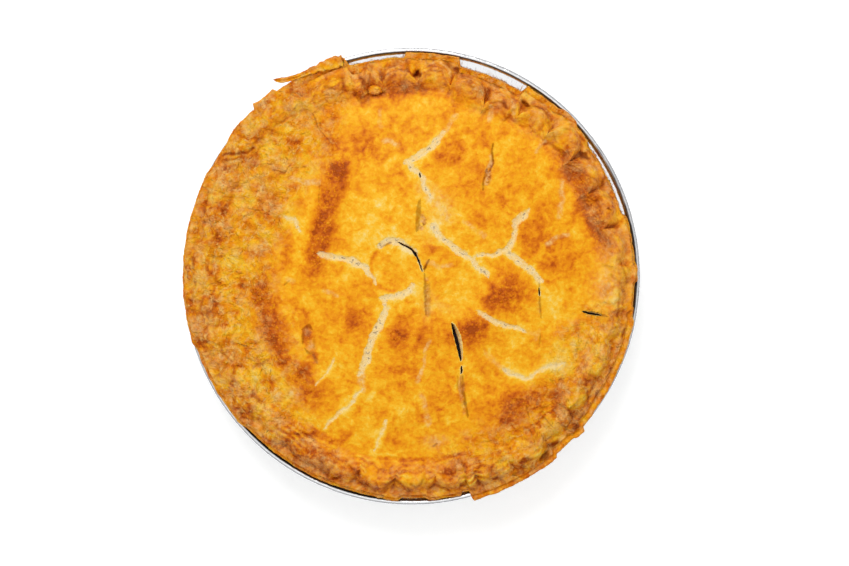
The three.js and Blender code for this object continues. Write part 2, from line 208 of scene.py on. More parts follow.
def nearestLines(x, y, lines, uneven):
    # for the nearest of several tapered lines: distance with its side's sign, half width,
    # strength, and distance from its edge
    side, half = np.full(x.shape, 9.0), np.full(x.shape, -9.0)
    strong, edge = np.zeros(x.shape), np.full(x.shape, 9.0)
    for line, width, strength in lines:
        away, share, turned = lineGap(x, y, line)
        taper = 0.3 + 0.7 * np.sin(np.pi * np.clip(share, 0.04, 0.96)) ** 0.5
        reach = width / 2 * taper * (1 + uneven)
        near = away - reach < edge
        side = np.where(near, np.where(turned < 0, -away, away), side)
        half = np.where(near, reach, half)
        strong = np.where(near, strength, strong)
        edge = np.where(near, away - reach, edge)
    fade = smooth(0.7, 1.9, edge)
    return np.clip(side, -4, 4), half - 6 * fade, strong * (1 - fade), edge


def patch(x, y, spot):
    # a soft long hill: exp(-(along / long)² - (across / wide)²)
    px, py, halfLong, halfWide, turn = spot[:5]
    c, s = np.cos(np.radians(turn)), np.sin(np.radians(turn))
    along, across = (x - px) * c + (y - py) * s, (y - py) * c - (x - px) * s
    return np.exp(-((along / halfLong) ** 2) - (across / halfWide) ** 2)


def baseEdge(angle):
    # the lower dough's outline: a circle plus its lobes
    return dough["edgeRadius"] + sumOfArcs(angle, dough["lobes"])


def lidEdge(angle):
    # the lid's outline: the lower dough's less the ledge that shows outside it
    return baseEdge(angle) - dough["usualLedge"] - sumOfArcs(angle, dough["wideLedges"])


def lidFloor(r):
    # a dome: rise times (1 - (r / radius) to the 2.3), flat on the ledge
    share = np.clip(r / dough["domeRadius"], 0, 1)
    return dough["ledgeTop"] + dough["gap"] + dough["domeRise"] * (1 - share**2.3)


def discGrid(rings):
    # a square grid bent to a disc: ring k of the square holds 8k points, evenly round
    k = np.arange(-rings, rings + 1)
    u, v = np.meshgrid(k, k)
    ring = np.maximum(abs(u), abs(v))
    flat = abs(u) >= abs(v)
    ratio = np.where(flat, v, u) / np.where(flat, np.where(u == 0, 1, u), v)
    angle = np.where(flat, 45 * ratio + 180 * (u < 0), 90 - 45 * ratio + 180 * (v < 0))
    n = 2 * rings + 1
    index = np.arange(n * n).reshape(n, n)
    quads = np.stack([index[:-1, :-1], index[:-1, 1:], index[1:, 1:], index[1:, :-1]], -1)
    loop = np.concatenate([index[0, :-1], index[:-1, -1], index[-1, :0:-1], index[:0:-1, 0]])
    return ring.ravel(), angle.ravel() % 360, quads.reshape(-1, 4), loop


def strips(rows):
    # quads that join each row of points, closed round, to the next row below it
    quads = []
    for upper, lower in zip(rows[:-1], rows[1:]):
        quads.append(np.stack([lower, np.roll(lower, -1), np.roll(upper, -1), upper], -1))
    return np.concatenate(quads)


def thinning(upper, lower):
    # triangles from a row down to one with a quarter as many points
    a, b = upper.reshape(-1, 4), lower
    after, next4 = np.roll(b, -1), np.roll(upper, -4).reshape(-1, 4)[:, 0]
    corners = [(b, a[:, 1], a[:, 0]), (b, a[:, 2], a[:, 1]), (b, after, a[:, 2]),
               (after, a[:, 3], a[:, 2]), (after, next4, a[:, 3])]
    return np.concatenate([np.stack(corner, -1) for corner in corners])


def fan(row, pole):
    # triangles from a row of points, closed round, to one point
    return np.stack([np.full(len(row), pole), np.roll(row, -1), row], -1)


def ringAt(r, turn, z):
    # points round the axis at radius r and height z
    return np.stack([r * np.cos(turn), r * np.sin(turn), z + 0 * turn], -1)


def closedSkin(rows, firstPole, lastPole):
    # equal rows of points joined by strips, with a fan to a pole at each end
    count = len(rows[0])
    index = [k * count + np.arange(count) for k in range(len(rows))]
    points = np.concatenate([*rows, [firstPole, lastPole]])
    total = len(points)
    ends = [fan(index[-1], total - 1), fan(index[0], total - 2)[:, ::-1]]
    return points, [strips(index)] + ends


def lengthsAlong(points):
    # how far along a bent line each of its points lies
    return np.concatenate([[0], np.cumsum(np.hypot(*np.diff(points[:, :2], axis=0).T))])


def rightOf(x, y):
    # unit vectors to the right of a line's direction at each of its points
    ahead = np.stack([np.gradient(x), np.gradient(y)], -1)
    ahead /= np.linalg.norm(ahead, axis=1, keepdims=True)
    return np.stack([ahead[:, 1], -ahead[:, 0]], -1)


# The crust's point values, with what they are on plain dough.
plainDough = {
    "bake": 0.5, "pale": 0, "flaky": 0.6, "hollowShade": 0, "sliver": 0, "splitSide": 4,
    "splitHalf": -9, "scarSide": 4, "scarHalf": -9, "scarDark": 0,
}


def doughFields(count, **known):
    # a full set of the crust's point values, with what isn't known left plain
    fields = {}
    for key, plain in plainDough.items():
        fields[key] = np.broadcast_to(known.get(key, plain), (count,)).astype(float)
    return fields


def makeMesh(name, points, faceGroups, fields=None):
    # a smooth mesh in metres, with each field as a value at its points
    faces = [face for group in faceGroups for face in group.tolist()]
    mesh = bpy.data.meshes.new(name)
    mesh.from_pydata((np.asarray(points) * mm).tolist(), [], faces)
    for label, values in (fields or {}).items():
        mesh.attributes.new(label, "FLOAT", "POINT")
        mesh.attributes[label].data.foreach_set("value", np.asarray(values, np.float32).ravel())
    mesh.polygons.foreach_set("use_smooth", np.ones(len(faces), bool))
    mesh.update()
    return mesh


def addPiece(name, mesh):
    piece = bpy.data.objects.new(name, mesh)
    bpy.context.collection.objects.link(piece)
    return piece


def combine(piece, cutters, operation):
    # joins or cuts solids, keeps the result as the piece's own mesh and drops the cutters
    for cutter in cutters:
        step = piece.modifiers.new("step", "BOOLEAN")
        step.operation, step.solver, step.object = operation, "MANIFOLD", cutter
    shown = piece.evaluated_get(bpy.context.evaluated_depsgraph_get())
    mesh = bpy.data.meshes.new_from_object(shown)
    piece.modifiers.clear()
    piece.data = mesh
    for cutter in cutters:
        bpy.data.objects.remove(cutter)


def putInPlace(piece, node, material):
    piece.data.materials.clear()
    piece.data.materials.append(material)
    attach(piece, "root")
    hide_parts(node)


def linear(rgb):
    # 0..255 display colour to linear light
    c = np.array(rgb) / 255
    return tuple(np.where(c <= 0.04045, c / 12.92, ((c + 0.055) / 1.055) ** 2.4)) + (1.0,)


class Finish:
    # a material's node tree with short ways to add nodes
    def __init__(self, name):
        self.material = bpy.data.materials.new(name)
        self.material.use_nodes = True
        self.tree = self.material.node_tree
        self.shader = self.tree.nodes["Principled BSDF"]
        self.place = self.add("ShaderNodeTexCoord").outputs["Object"]

    def add(self, kind, settings=None, inputs=None):
        made = self.tree.nodes.new(kind)
        for key, value in (settings or {}).items():
            setattr(made, key, value)
        for key, value in (inputs or {}).items():
            if isinstance(value, bpy.types.NodeSocket):
                self.tree.links.new(value, made.inputs[key])
            else:
                made.inputs[key].default_value = value
        return made

    def field(self, name):
        return self.add("ShaderNodeAttribute", {"attribute_name": name}).outputs["Fac"]

    def noise(self, size, detail=2, rough=0.5, warp=0.0):
        # size is the width of one bump in millimetres
        inputs = {"Scale": 1 / (size * mm), "Detail": detail, "Roughness": rough}
        inputs |= {"Distortion": warp, "Vector": self.place}
        return self.add("ShaderNodeTexNoise", None, inputs).outputs["Fac"]

    def flecks(self, size, low, high, *more):
        # noise cut to soft spots: 0 where it is below low and 1 above high
        return self.window(self.noise(size, *more), low, high)

    def cells(self, size, place):
        # distance to the nearest of points scattered `size` millimetres apart, in cells
        inputs = {"Scale": 1 / (size * mm), "Vector": place}
        return self.add("ShaderNodeTexVoronoi", {"feature": "F1"}, inputs).outputs["Distance"]

    def warped(self, size, amount):
        # the place, pushed about by noise: amount in millimetres
        inputs = {"Scale": 1 / (size * mm), "Detail": 2, "Vector": self.place}
        push = self.add("ShaderNodeTexNoise", None, inputs).outputs["Color"]
        inputs = {0: push, 1: (amount * mm,) * 3, 2: self.place}
        return self.add("ShaderNodeVectorMath", {"operation": "MULTIPLY_ADD"}, inputs).outputs[0]

    def math(self, operation, a, b=0.0, c=0.0):
        return self.add("ShaderNodeMath", {"operation": operation}, {0: a, 1: b, 2: c}).outputs[0]

    def times(self, product, *values):
        # all the values multiplied
        for value in values:
            product = self.math("MULTIPLY", product, value)
        return product

    def total(self, start, *terms):
        # start plus each value times its weight
        for value, weight in terms:
            start = self.math("MULTIPLY_ADD", value, weight, start)
        return start

    def inLine(self, sideField, halfField, shift, sway, rag):
        # how deep a point lies in a line: its half width less its distance from the middle, which
        # is shifted and swayed by noise, with ragged edges; sway and rag are width, detail,
        # roughness and amount
        side = self.total(shift, (self.field(sideField), 1.0), (self.noise(*sway[:3]), sway[3]))
        inside = self.math("SUBTRACT", self.field(halfField), self.math("ABSOLUTE", side))
        return self.total(inside, (self.noise(*rag[:3]), rag[3]))

    def window(self, value, low, high, lowOut=0.0, highOut=1.0):
        # S step from lowOut at low to highOut at high
        inputs = {"Value": value, "From Min": low, "From Max": high}
        inputs |= {"To Min": lowOut, "To Max": highOut}
        settings = {"interpolation_type": "SMOOTHSTEP"}
        return self.add("ShaderNodeMapRange", settings, inputs).outputs["Result"]

    def blend(self, amount, under, over):
        settings = {"data_type": "RGBA", "blend_type": "MIX"}
        made = self.add("ShaderNodeMix", settings, {0: amount, 6: under, 7: over})
        return made.outputs[2]

    def ramp(self, value, stops):
        made = self.add("ShaderNodeValToRGB", None, {"Fac": value})
        elements = made.color_ramp.elements
        while len(elements) < len(stops):
            elements.new(0.5)
        for element, (where, rgb) in zip(elements, stops):
            element.position = where
            element.color = linear(rgb)
        return made.outputs["Color"]

    def bump(self, height, depth, under=None):
        # depth in millimetres for a height of 0..1
        inputs = {"Height": height, "Distance": depth * mm, "Strength": 1.0}
        if under:
            inputs["Normal"] = under
        return self.add("ShaderNodeBump", None, inputs).outputs["Normal"]

    def send(self, value, socket):
        self.tree.links.new(value, self.shader.inputs[socket])


# Baked dough: colours in 0..255, sizes and depths in millimetres.
crustLook = {
    "bakeStops": (  # from raw to burnt
        (0.0, (251, 222, 150)), (0.14, (253, 208, 88)), (0.28, (253, 191, 40)),
        (0.42, (249, 171, 18)), (0.56, (240, 147, 10)), (0.70, (221, 118, 6)),
        (0.84, (194, 88, 4)), (1.0, (140, 54, 2)),
    ),
    "darkestBake": 0.92,
    "dryStops": ((0.38, (230, 162, 78)), (0.6, (250, 208, 136))),
    "sliverStops": ((0.38, (150, 76, 22)), (0.48, (204, 130, 60)), (0.6, (232, 178, 116))),
    "creamStops": ((0.36, (242, 204, 134)), (0.6, (250, 227, 174))),
    # colour of the painted highlights on flake tips
    "flakeHighlightColour": (252, 200, 110),
    "speck": (120, 96, 92),
    # one dark colour for the shut slits' lines and for painted shade
    "scarAndShade": (112, 30, 0),
    "mottleSizes": (7, 2.1),
    "mottleWeights": (1.1, 0.7),
    "blisterSize": 1.5,
    "layerSize": 15,
    "layerSteps": 8,
    "creamShown": 0.88,
    "specksShown": 0.85,
    "roughness": 0.42,
    "specular": 0.1,
    "skinDepth": 0.45,
    "blisterDepth": 0.25,
    "flakeDepth": 2.8,
    "layerDepth": 0.5,
    "splitDepth": -0.15,
}


def crustFinish(name):
    look, finish = crustLook, Finish(name)
    bake, pale, flaky, hollowShade = (finish.field(key) for key in ("bake", "pale", "flaky", "hollowShade"))
    # soft mottling of the browned skin
    broadSize, fineSize = look["mottleSizes"]
    broad, fine = finish.noise(broadSize, 4, 0.55, 0.6), finish.noise(fineSize, 3, 0.55, 0.5)
    mottle = finish.total(-0.9, *zip((broad, fine), look["mottleWeights"]))
    strength = finish.total(0.85, (flaky, -0.15))
    baked = finish.math("MULTIPLY_ADD", mottle, strength, bake)
    # blisters a millimetre wide where it is brownest
    bubbles = finish.cells(look["blisterSize"], finish.warped(3, 1.2))
    browned = finish.window(bake, 0.6, 0.8)
    bubbles = finish.times(finish.window(bubbles, 0.6, 0.15), browned)
    # torn layers: warped noise counted in steps, each lip painted paler as a highlight and a thin line below
    # it painted darker as shade
    counted = finish.times(finish.noise(look["layerSize"], 4, 0.55, 0.9), look["layerSteps"])
    step = finish.math("FRACT", counted)
    lip = finish.times(finish.window(step, 0.45, 0.95), flaky)
    shadedSeam = finish.times(finish.window(step, 0.22, 0.0), flaky, finish.flecks(5, 0.42, 0.6))
    baked = finish.total(baked, (bubbles, -0.12), (shadedSeam, 0.06), (lip, -0.08))
    colour = finish.ramp(finish.math("MINIMUM", baked, look["darkestBake"]), look["bakeStops"])
    # painted highlights on the tips of flakes
    flakeHighlight = finish.flecks(3.2, 0.48, 0.64, 4, 0.55, 0.8)
    flakeHighlight = finish.times(flakeHighlight, finish.total(0.0, (flaky, 0.35), (lip, 0.45)))
    colour = finish.blend(flakeHighlight, colour, linear(look["flakeHighlightColour"]))
    # floury and dry flakes
    dry = finish.total(0.35, (finish.flecks(2.8, 0.38, 0.6, 4, 0.6, 0.6), 0.7))
    dryColour = finish.ramp(finish.noise(2.6, 3, 0.6), look["dryStops"])
    colour = finish.blend(finish.times(pale, dry), colour, dryColour)
    # torn slivers of shut slits
    sliver = finish.ramp(finish.noise(2.2, 3, 0.6), look["sliverStops"])
    shown = finish.times(finish.field("sliver"), finish.flecks(2, 0.3, 0.5))
    colour = finish.blend(shown, colour, sliver)
    # splits: cream dough that fades to golden at its edges, with fruit as small specks
    inside = finish.inLine("splitSide", "splitHalf", -0.8, (2.2, 2, 0.5, 1.6), (1.3, 3, 0.6, 3.0))
    split = finish.window(inside, 0.1, 2.1)
    cream = finish.ramp(finish.noise(1.7, 3, 0.6), look["creamStops"])
    specks = finish.times(finish.flecks(1.7, 0.5, 0.68, 3, 0.6, 0.4), finish.window(inside, 1.3, 2.3))
    specks = finish.times(specks, look["specksShown"])
    cream = finish.blend(specks, cream, linear(look["speck"]))
    colour = finish.blend(finish.times(split, look["creamShown"]), colour, cream)
    # thin dark lines of shut slits, broken here and there, and painted shade in hollows, creases, notches,
    # between lumps and under edges
    inside = finish.inLine("scarSide", "scarHalf", -0.2, (1.8, 2, 0.5, 0.4), (2.8, 2, 0.6, 1.2))
    broken = finish.window(finish.noise(3), 0.2, 0.55, 0.45)
    scar = finish.times(finish.window(inside, -0.3, 1.0), finish.field("scarDark"), broken)
    scarAndShade = finish.math("MAXIMUM", scar, hollowShade)
    colour = finish.blend(scarAndShade, colour, linear(look["scarAndShade"]))
    finish.send(colour, "Base Color")
    rough = finish.total(look["roughness"], (flaky, 0.12), (split, 0.3), (browned, -0.08))
    finish.send(rough, "Roughness")
    finish.send(finish.total(look["specular"], (scarAndShade, -0.1)), "Specular IOR Level")
    flakes = finish.times(finish.noise(4, 4, 0.6, 0.6), flaky)
    steps = finish.total(0.0, (lip, 0.5), (shadedSeam, -0.35))
    skin = finish.bump(finish.noise(1.8, 3, 0.55, 0.2), look["skinDepth"])
    skin = finish.bump(bubbles, look["blisterDepth"], skin)
    skin = finish.bump(flakes, look["flakeDepth"], skin)
    skin = finish.bump(steps, look["layerDepth"], skin)
    skin = finish.bump(split, look["splitDepth"], skin)
    finish.send(skin, "Normal")
    return finish.material


# the crease colour is painted shade and a dark reflection in the groove by the bead
foilLook = {"bright": (228, 229, 231), "shadedCrease": (44, 45, 47), "dentDepth": 0.6, "grainDepth": 0.06}


def foilFinish():
    finish = Finish("brightFoil")
    finish.shader.inputs["Metallic"].default_value = 1.0
    # painted shade and reflection in the groove between flange and bead, also rougher there
    shadedCrease = finish.field("shadedCrease")
    colour = finish.blend(shadedCrease, linear(foilLook["bright"]), linear(foilLook["shadedCrease"]))
    finish.send(colour, "Base Color")
    rough = finish.window(finish.noise(9, 3, 0.6), 0.3, 0.7, 0.18, 0.3)
    finish.send(finish.total(rough, (shadedCrease, 0.3)), "Roughness")
    dents = finish.bump(finish.noise(8, 3, 0.6, 0.3), foilLook["dentDepth"])
    finish.send(finish.bump(finish.noise(1.6), foilLook["grainDepth"], dents), "Normal")
    return finish.material


fruitLook = {"stops": ((0.35, (12, 2, 4)), (0.7, (34, 6, 16))), "roughness": 0.35, "specular": 0.12}


def fillingFinish():
    finish = Finish("darkFruit")
    finish.send(finish.ramp(finish.noise(6, 3, 0.6), fruitLook["stops"]), "Base Color")
    finish.shader.inputs["Roughness"].default_value = fruitLook["roughness"]
    finish.shader.inputs["Specular IOR Level"].default_value = fruitLook["specular"]
    finish.send(finish.bump(finish.noise(2.5, 3, 0.6), 0.8), "Normal")
    return finish.material


crustMaterial = crustFinish("bakedCrust")
print("stage: materials made")

# Lid crust: a fluted rim round a low dome with splits, scars and open steam slits.
lid = {
    "rings": 150,
    "rimRings": 50,
    "innerRadius": 88,  # where the even rings of the middle end
    "rimWidth": 17,
    "crestFromEdge": 8,
    "crestOut": 5.4,  # how far the crest's outer slope runs
    "crestIn": 8.5,
    "edgeTop": 34,
    "fluteCount": 34,
    "fluteStart": 9.2,  # the first lump's middle
    "fluteSwing": 8.5,
    "faintFlute": 0.2,
    "crispFlutes": ((4, 106, 0.7, 10), (252, 292, 0.3, 10), (292, 352, 0.1, 10)),
    "flatCrest": ((122, 226, 0.55, 30), (300, 345, 0.2, 14)),
    "lumpSize": 8.6,
    "lumps": 0.5,
    "lumpier": ((182, 352, 0.35, 20), (4, 118, 0.3, 14)),
    "stray": 1.2,  # how irregular the flutes are
    "rippleWidth": 2.6,
    "ripple": 0.1,
    "rippled": ((228, 312, 0.25, 20), (60, 112, 0.1, 20)),
    "thinBand": 1.3,  # bands narrower than this dip
    "press": (-8, 4.6, 12),  # round mark: middle and radius
    "bake": 0.455,  # 0 raw to 1 burnt
    # width, octaves, seed and amount
    "unevenBake": ((40, 2, 91, 0.06), (13, 3, 92, 0.11), (5, 2, 93, 0.09)),
    "rimBake": 0.09,
    "rimBakeMore": (
        (60, 118, 0.06, 20), (130, 228, 0.045, 20), (232, 300, 0.11, 20), (312, 345, 0.05, 10),
    ),
    "brownest": 0.84,
    "cavities": ((3, 0.9), (8, 2.0)),  # reach in grid steps and depth in mm that count as hollow
    # painted shade in the skin's hollows: how much browner and how much darker
    "cavityWarmShade": 0.26,
    "cavityShade": 0.16,
    # how much each form adds: to the height in mm, to the bake, as pale skin, and as painted shade
    "heights": {
        "crest": 4.8, "pleat": 0.35, "notch": -0.9, "broadLayers": 1.3, "smallLayers": 0.6,
        "folds": 0.55, "ripple": 1, "swell": 1, "skin": 1, "lump": 1.8, "lumpGap": -0.3,
        "split": -0.4, "splitLip": 0.12, "sliver": -0.5, "scar": -0.2, "shadedCrease": -0.7, "groove": -1.6,
        "paleRise": 0.3, "blister": 0.3, "dip": -1.1, "pressRing": -0.5, "pressDisc": -0.4,
    },
    # the browning of the notches, their shade, the creases and the lump borders is painted shade, with some
    # real browning in the creases and lump borders
    "browning": {
        "band": 1, "leaf": 0.12, "leafEdge": 0.1, "flakyPatch": 0.24, "broadPatch": 0.16,
        "ripple": -0.3, "shade": 0.25, "notch": 0.12, "pleat": -0.12, "blisterRing": 0.13,
        "pressRing": 0.3, "pressDisc": -0.05, "besideSplit": -0.28, "shadedLumpBorder": 0.16,
        "lumpTint": 0.16, "shadedCrease": 0.15,
    },
    "paleness": {
        "faint": 0.95, "paleLine": 1, "dry": 0.6, "pleatFoot": 0.4, "litLumpTop": 0.35, "rimEdge": 0.4,
        "lumpPale": 0.5,
    },
    "paintedShade": {"hollowShade": 0.9, "shade": 0.4, "shadedCrease": 0.75, "shadedLumpBorder": 0.22},
}

# Swells of the lid: middle, half length, half width, turn, rise.
swells = (
    (-42.5, 30, 34, 7, 74, 1.8),
    (-60, -41, 30, 8, -57, 1.5),
    (44.7, -8.8, 13, 9, 40, 1.2),
    (30.7, -25.8, 10, 8, 30, 1.0),
    (49.2, -64.3, 18, 10, 25, 1.5),
    (88, 31, 22, 6, -68, 0.9),
    (12, -28, 26, 9, 8, 0.8),
    (15, 40, 48, 36, 0, 1.2),
    (-78, 14, 40, 13, 84, -1.6),
    (8, -96, 34, 5, 2, 1.0),
)

# Browner (+) and paler (-) areas: middle, half length, half width, turn, change in bake.
bakeSpots = (
    # the dome
    (-44.5, 8, 9, 6, 80, 0.16), (-37, 58, 13, 8, 70, 0.1), (-52, 30, 16, 3, 84, -0.12),
    (-53, 15, 8, 3, 80, -0.1), (-55, 38, 3.5, 2.4, 80, 0.16),
    (44.7, -8.8, 12, 8, 42, 0.44), (31, -26, 11, 6.5, 35, 0.42), (4, -29, 22, 7, 5, 0.2),
    (-26, -20, 7, 8, 80, 0.24), (-9, -30, 7, 6, 0, 0.14), (53, -65, 18, 9, 28, 0.33),
    (-51, -31, 7.5, 2.6, 90, 0.32), (-48, -40.5, 3, 1, -60, 0.2), (-35, 68, 26, 9, -10, 0.1),
    (-72, 28, 22, 15, 85, 0.11), (-76, -6, 12, 9, -80, 0.1),
    (46, -72.5, 6, 3.5, 10, 0.24), (61, -58.5, 4, 3, 0, 0.14), (72.5, -58, 5, 2.4, 80, 0.2),
    (68, 12, 14, 11, -40, 0.22), (55, 27, 10, 8, 20, 0.18), (34, 44, 14, 11, -60, 0.1),
    (18, 62, 8, 7, 0, 0.14), (-7.5, -82, 7, 3, 0, 0.2), (3.5, -80.7, 4, 2, -20, 0.16),
    (27.2, -80.8, 1.6, 1.2, 0, 0.22), (-20, 66, 12, 7, 30, 0.08), (-57, -22, 7, 5, 0, 0.06),
    (54, 62, 12, 13, 0, -0.1), (-14, 76, 24, 7, 0, -0.06), (-12, 32, 22, 17, 20, -0.12),
    (20, -8, 16, 10, 10, -0.14), (72, -14, 9, 12, 0, -0.16), (54, -38, 15, 9, 20, -0.12),
    (-8, -64, 15, 10, 0, -0.1), (-26, 21, 9, 6, 0, -0.1), (14, 28, 8, 14, -25, -0.16),
    (8, -14, 8, 5, 0, -0.12),
    # the rim's right and top
    (91, 30, 18, 5, -66, 0.14), (84, 44, 10, 9, 0, 0.08), (98, -6, 6, 12, 0, -0.24),
    (90, -38, 10, 9, -50, -0.1), (75, 60, 5, 4, 0, 0.22), (60, 77, 4.5, 3, -20, 0.2),
    (65, 79.5, 2.4, 2, 0, 0.16), (61, 72, 4, 2.4, -30, 0.14), (36, 91, 3, 2.4, 0, 0.24),
    (31, 96, 4.5, 3, -20, 0.14), (47, 86, 5, 2.4, -10, 0.16), (-7, 101, 6, 4, 0, 0.14),
    (4.5, 93.5, 2.4, 2, 0, 0.24), (-8, 89, 2.4, 1.8, 0, 0.16), (11.5, 104.5, 2.6, 2.2, 0, 0.34),
    (-17, 95, 5, 2, 0, 0.1), (98, 33, 6, 4, 80, 0.1), (79, 66, 4, 5, -40, 0.1),
    # the rim's left
    (-58, 89, 4.5, 2.4, 10, 0.2), (-56.5, 75.5, 3, 2.4, 0, 0.2), (-75, 72, 3.6, 3, 0, 0.32),
    (-69, 71.5, 4, 1.6, 0, 0.14), (-57, 44.5, 4, 2, 0, 0.16), (-92, 33, 3.4, 3, 0, 0.18),
    (-95, 20, 6.5, 3.4, 80, 0.18), (-87, 24, 3.4, 2.6, 0, 0.16), (-97.5, 2, 3.4, 2.6, 70, 0.2),
    (-84, -4, 3.4, 2, 0, 0.22), (-80, 24, 16, 9, 85, 0.06), (-76, -8, 8, 6, -70, 0.12),
    # the rim's lower left
    (-73, -51, 3, 2.4, 0, 0.18), (-69, -53, 3, 2.4, 0, 0.16), (-105, -33, 4, 2.4, 80, 0.2),
    (-89.5, -31, 3, 2.4, 0, 0.16), (-94, -22.5, 3, 2, 0, 0.16), (-97.5, -16, 3, 2.4, 0, 0.18),
    (-84.5, -56.5, 3, 2.4, 0, 0.16), (-85, -45, 3, 2.4, 0, 0.16), (-88.5, -65, 4.5, 2, -60, 0.2),
    (-48.5, -78.5, 3.2, 1.8, 0, 0.28), (-40.5, -82, 2.4, 2, 0, 0.22), (-33.7, -82.3, 2.4, 2, 0, 0.24),
    (-48, -86.7, 4, 2, 0, 0.22), (-38, -100.5, 4.5, 2, 10, 0.3), (57, -91, 4.5, 2.4, 30, 0.26),
    (-55, -90, 22, 9, -32, 0.08),
)
# Bands of browner skin along lines, some of them painted shade under the rim: points, half width, change in
# bake. The thin ones dip.
bands = (
    (
        ((-36.5, 62), (-36.5, 50), (-38, 45), (-40, 40), (-42, 33), (-44, 27), (-46, 20), (-48, 3)),
        6, 0.38,
    ),
    (
        ((-75, -8), (-72, -20), (-68.5, -30), (-65, -38), (-59, -47), (-50, -57), (-40, -68)),
        6.4, 0.29,
    ),
    (((-74, -14), (-70, -30), (-66, -39), (-62, -46)), 1.4, 0.12),
    (((77, 60), (84, 48), (88, 38), (91, 28), (95, 18)), 5.6, 0.3),
    (((-65, -10), (-65, -30), (-59, -42), (-50, -52), (-38, -62)), 6, 0.07),
    # this band and the next: painted shade along the inner foot of the lower right rim, with browning
    (((108, -24), (104, -38), (98, -51), (91, -63), (84, -74)), 1.8, 0.26),
    (((90, -66), (85, -73), (80, -78.5)), 2.8, 0.26),
    # painted shade and browning below the right rim's folds
    (
        ((83, 51), (86, 48), (88, 43), (90.5, 36), (92, 30), (92, 25), (93, 20), (98, 15), (97, 11)),
        2.2, 0.22,
    ),
    # painted shade and browning below the top rim's lumps
    (((-31, 92), (-22, 91.5), (-13, 92), (-4, 93.5), (3, 94), (6, 91.5)), 2.8, 0.42),
    (((8, 92), (20, 91), (33, 88), (46, 82), (58, 73), (68, 64), (77, 57)), 2.4, 0.1),
    (((-92, 12.5), (-72, 12)), 2.6, 0.12), (((-60, 63), (-47, 63)), 2.6, 0.14),
    (((-61, -69), (-57, -73), (-50, -76), (-40, -82), (-30, -84)), 1.7, 0.16),
    (((-16.5, -90.3), (0, -91.5), (13, -91), (20, -89.5), (31, -88)), 1, 0.22),
    (((-16, -96.3), (-10, -97), (-3, -97.3), (3, -97.7), (9, -97)), 0.9, 0.18),
    (((-77, -79), (-70, -82.5), (-66, -84), (-61, -81)), 1, 0.2),
    (((-97, -48), (-92, -52), (-88, -55)), 1, 0.18), (((-58, -91), (-53, -93), (-48, -94)), 1, 0.18),
    (((-86, 19.5), (-75, 18.5)), 0.8, 0.14), (((-76, 86), (-71, 88)), 0.8, 0.18),
    (((-52, 90), (-46, 84), (-40, 82)), 1, 0.12), (((-104, -20), (-101, -32), (-96, -40)), 1, 0.14),
)
# Places where the skin stayed smooth: middle, half length, half width, turn, how smooth.
smoothAreas = (
    (-66, -33, 24, 7, -62, 0.75), (-50, -58, 16, 9, -45, 0.8), (-51, 25, 32, 8, 80, 0.8),
    (-58, 4, 12, 12, 0, 0.6), (54, -64, 15, 8, 28, 0.5),
)

# Splits: points, width at the middle, and how raw they look.
splits = (
    (((15.5, 71), (11.5, 65.5), (4, 60), (-2.2, 56.6), (0.5, 53.5)), 2.4, 1),
    (((-2.2, 56.6), (4.2, 51.1), (7.2, 43.6), (9, 39.5)), 2.0, 0.9),
    (((10.5, 25), (15, 19), (21.7, 13.6), (29.2, 8.6), (37.2, 0.8)), 2.5, 0.9),
    (((58.7, 33.1), (55, 29), (51.2, 27.1), (51.2, 19.6), (47.6, 12.6)), 2.2, 0.9),
    (((33.2, 10.6), (40.7, 10.4), (47.2, 13.1)), 2.0, 0.6),
    (((47.2, 13.1), (52, 8), (58.7, 3.6), (64, -2.2)), 3.0, 1),
    (((-16, 15), (-12, 17), (-7, 17.3), (-3, 15), (1, 12.5)), 2.8, 1),
    (((-46, 10.8), (-37.7, 9.1), (-29.7, 7.9), (-22.7, 3.6), (-17.7, -2.5)), 2.5, 1),
    (((-12.2, -16.3), (-15.7, -23.8), (-19.7, -31.8), (-21.9, -39.8), (-25.7, -48.5)), 3.2, 1),
    (((33.2, -17.8), (39.7, -21.8), (47.2, -24.3), (56, -27.3)), 2.0, 1),
    (((-14.6, -10.8), (-6.7, -9.8), (-2, -8.3), (1.4, -3.8)), 2.2, 1),
    (((-13.8, -11), (-12.8, -14), (-12, -17)), 1.5, 1),
    (((-62, 29.2), (-59, 28), (-55.4, 23)), 1.6, 0.7),
    (((46.2, -46.3), (51.2, -49.8), (56.7, -50.8), (60, -50)), 1.7, 0.3),
    (((60.7, -48.5), (64, -46.4), (69.2, -44.8), (76.5, -43)), 1.2, 0.1),
    (((-24.2, -56), (-31.2, -64.3), (-37.7, -69.8), (-43, -75.5)), 1.1, 0.1),
    (((-12.4, -71.3), (-15.2, -78.3), (-18, -86.5)), 0.9, 0.1),
    (((-38.7, -41.3), (-41.7, -48.8), (-47.2, -53.3)), 0.8, 0.1),
)
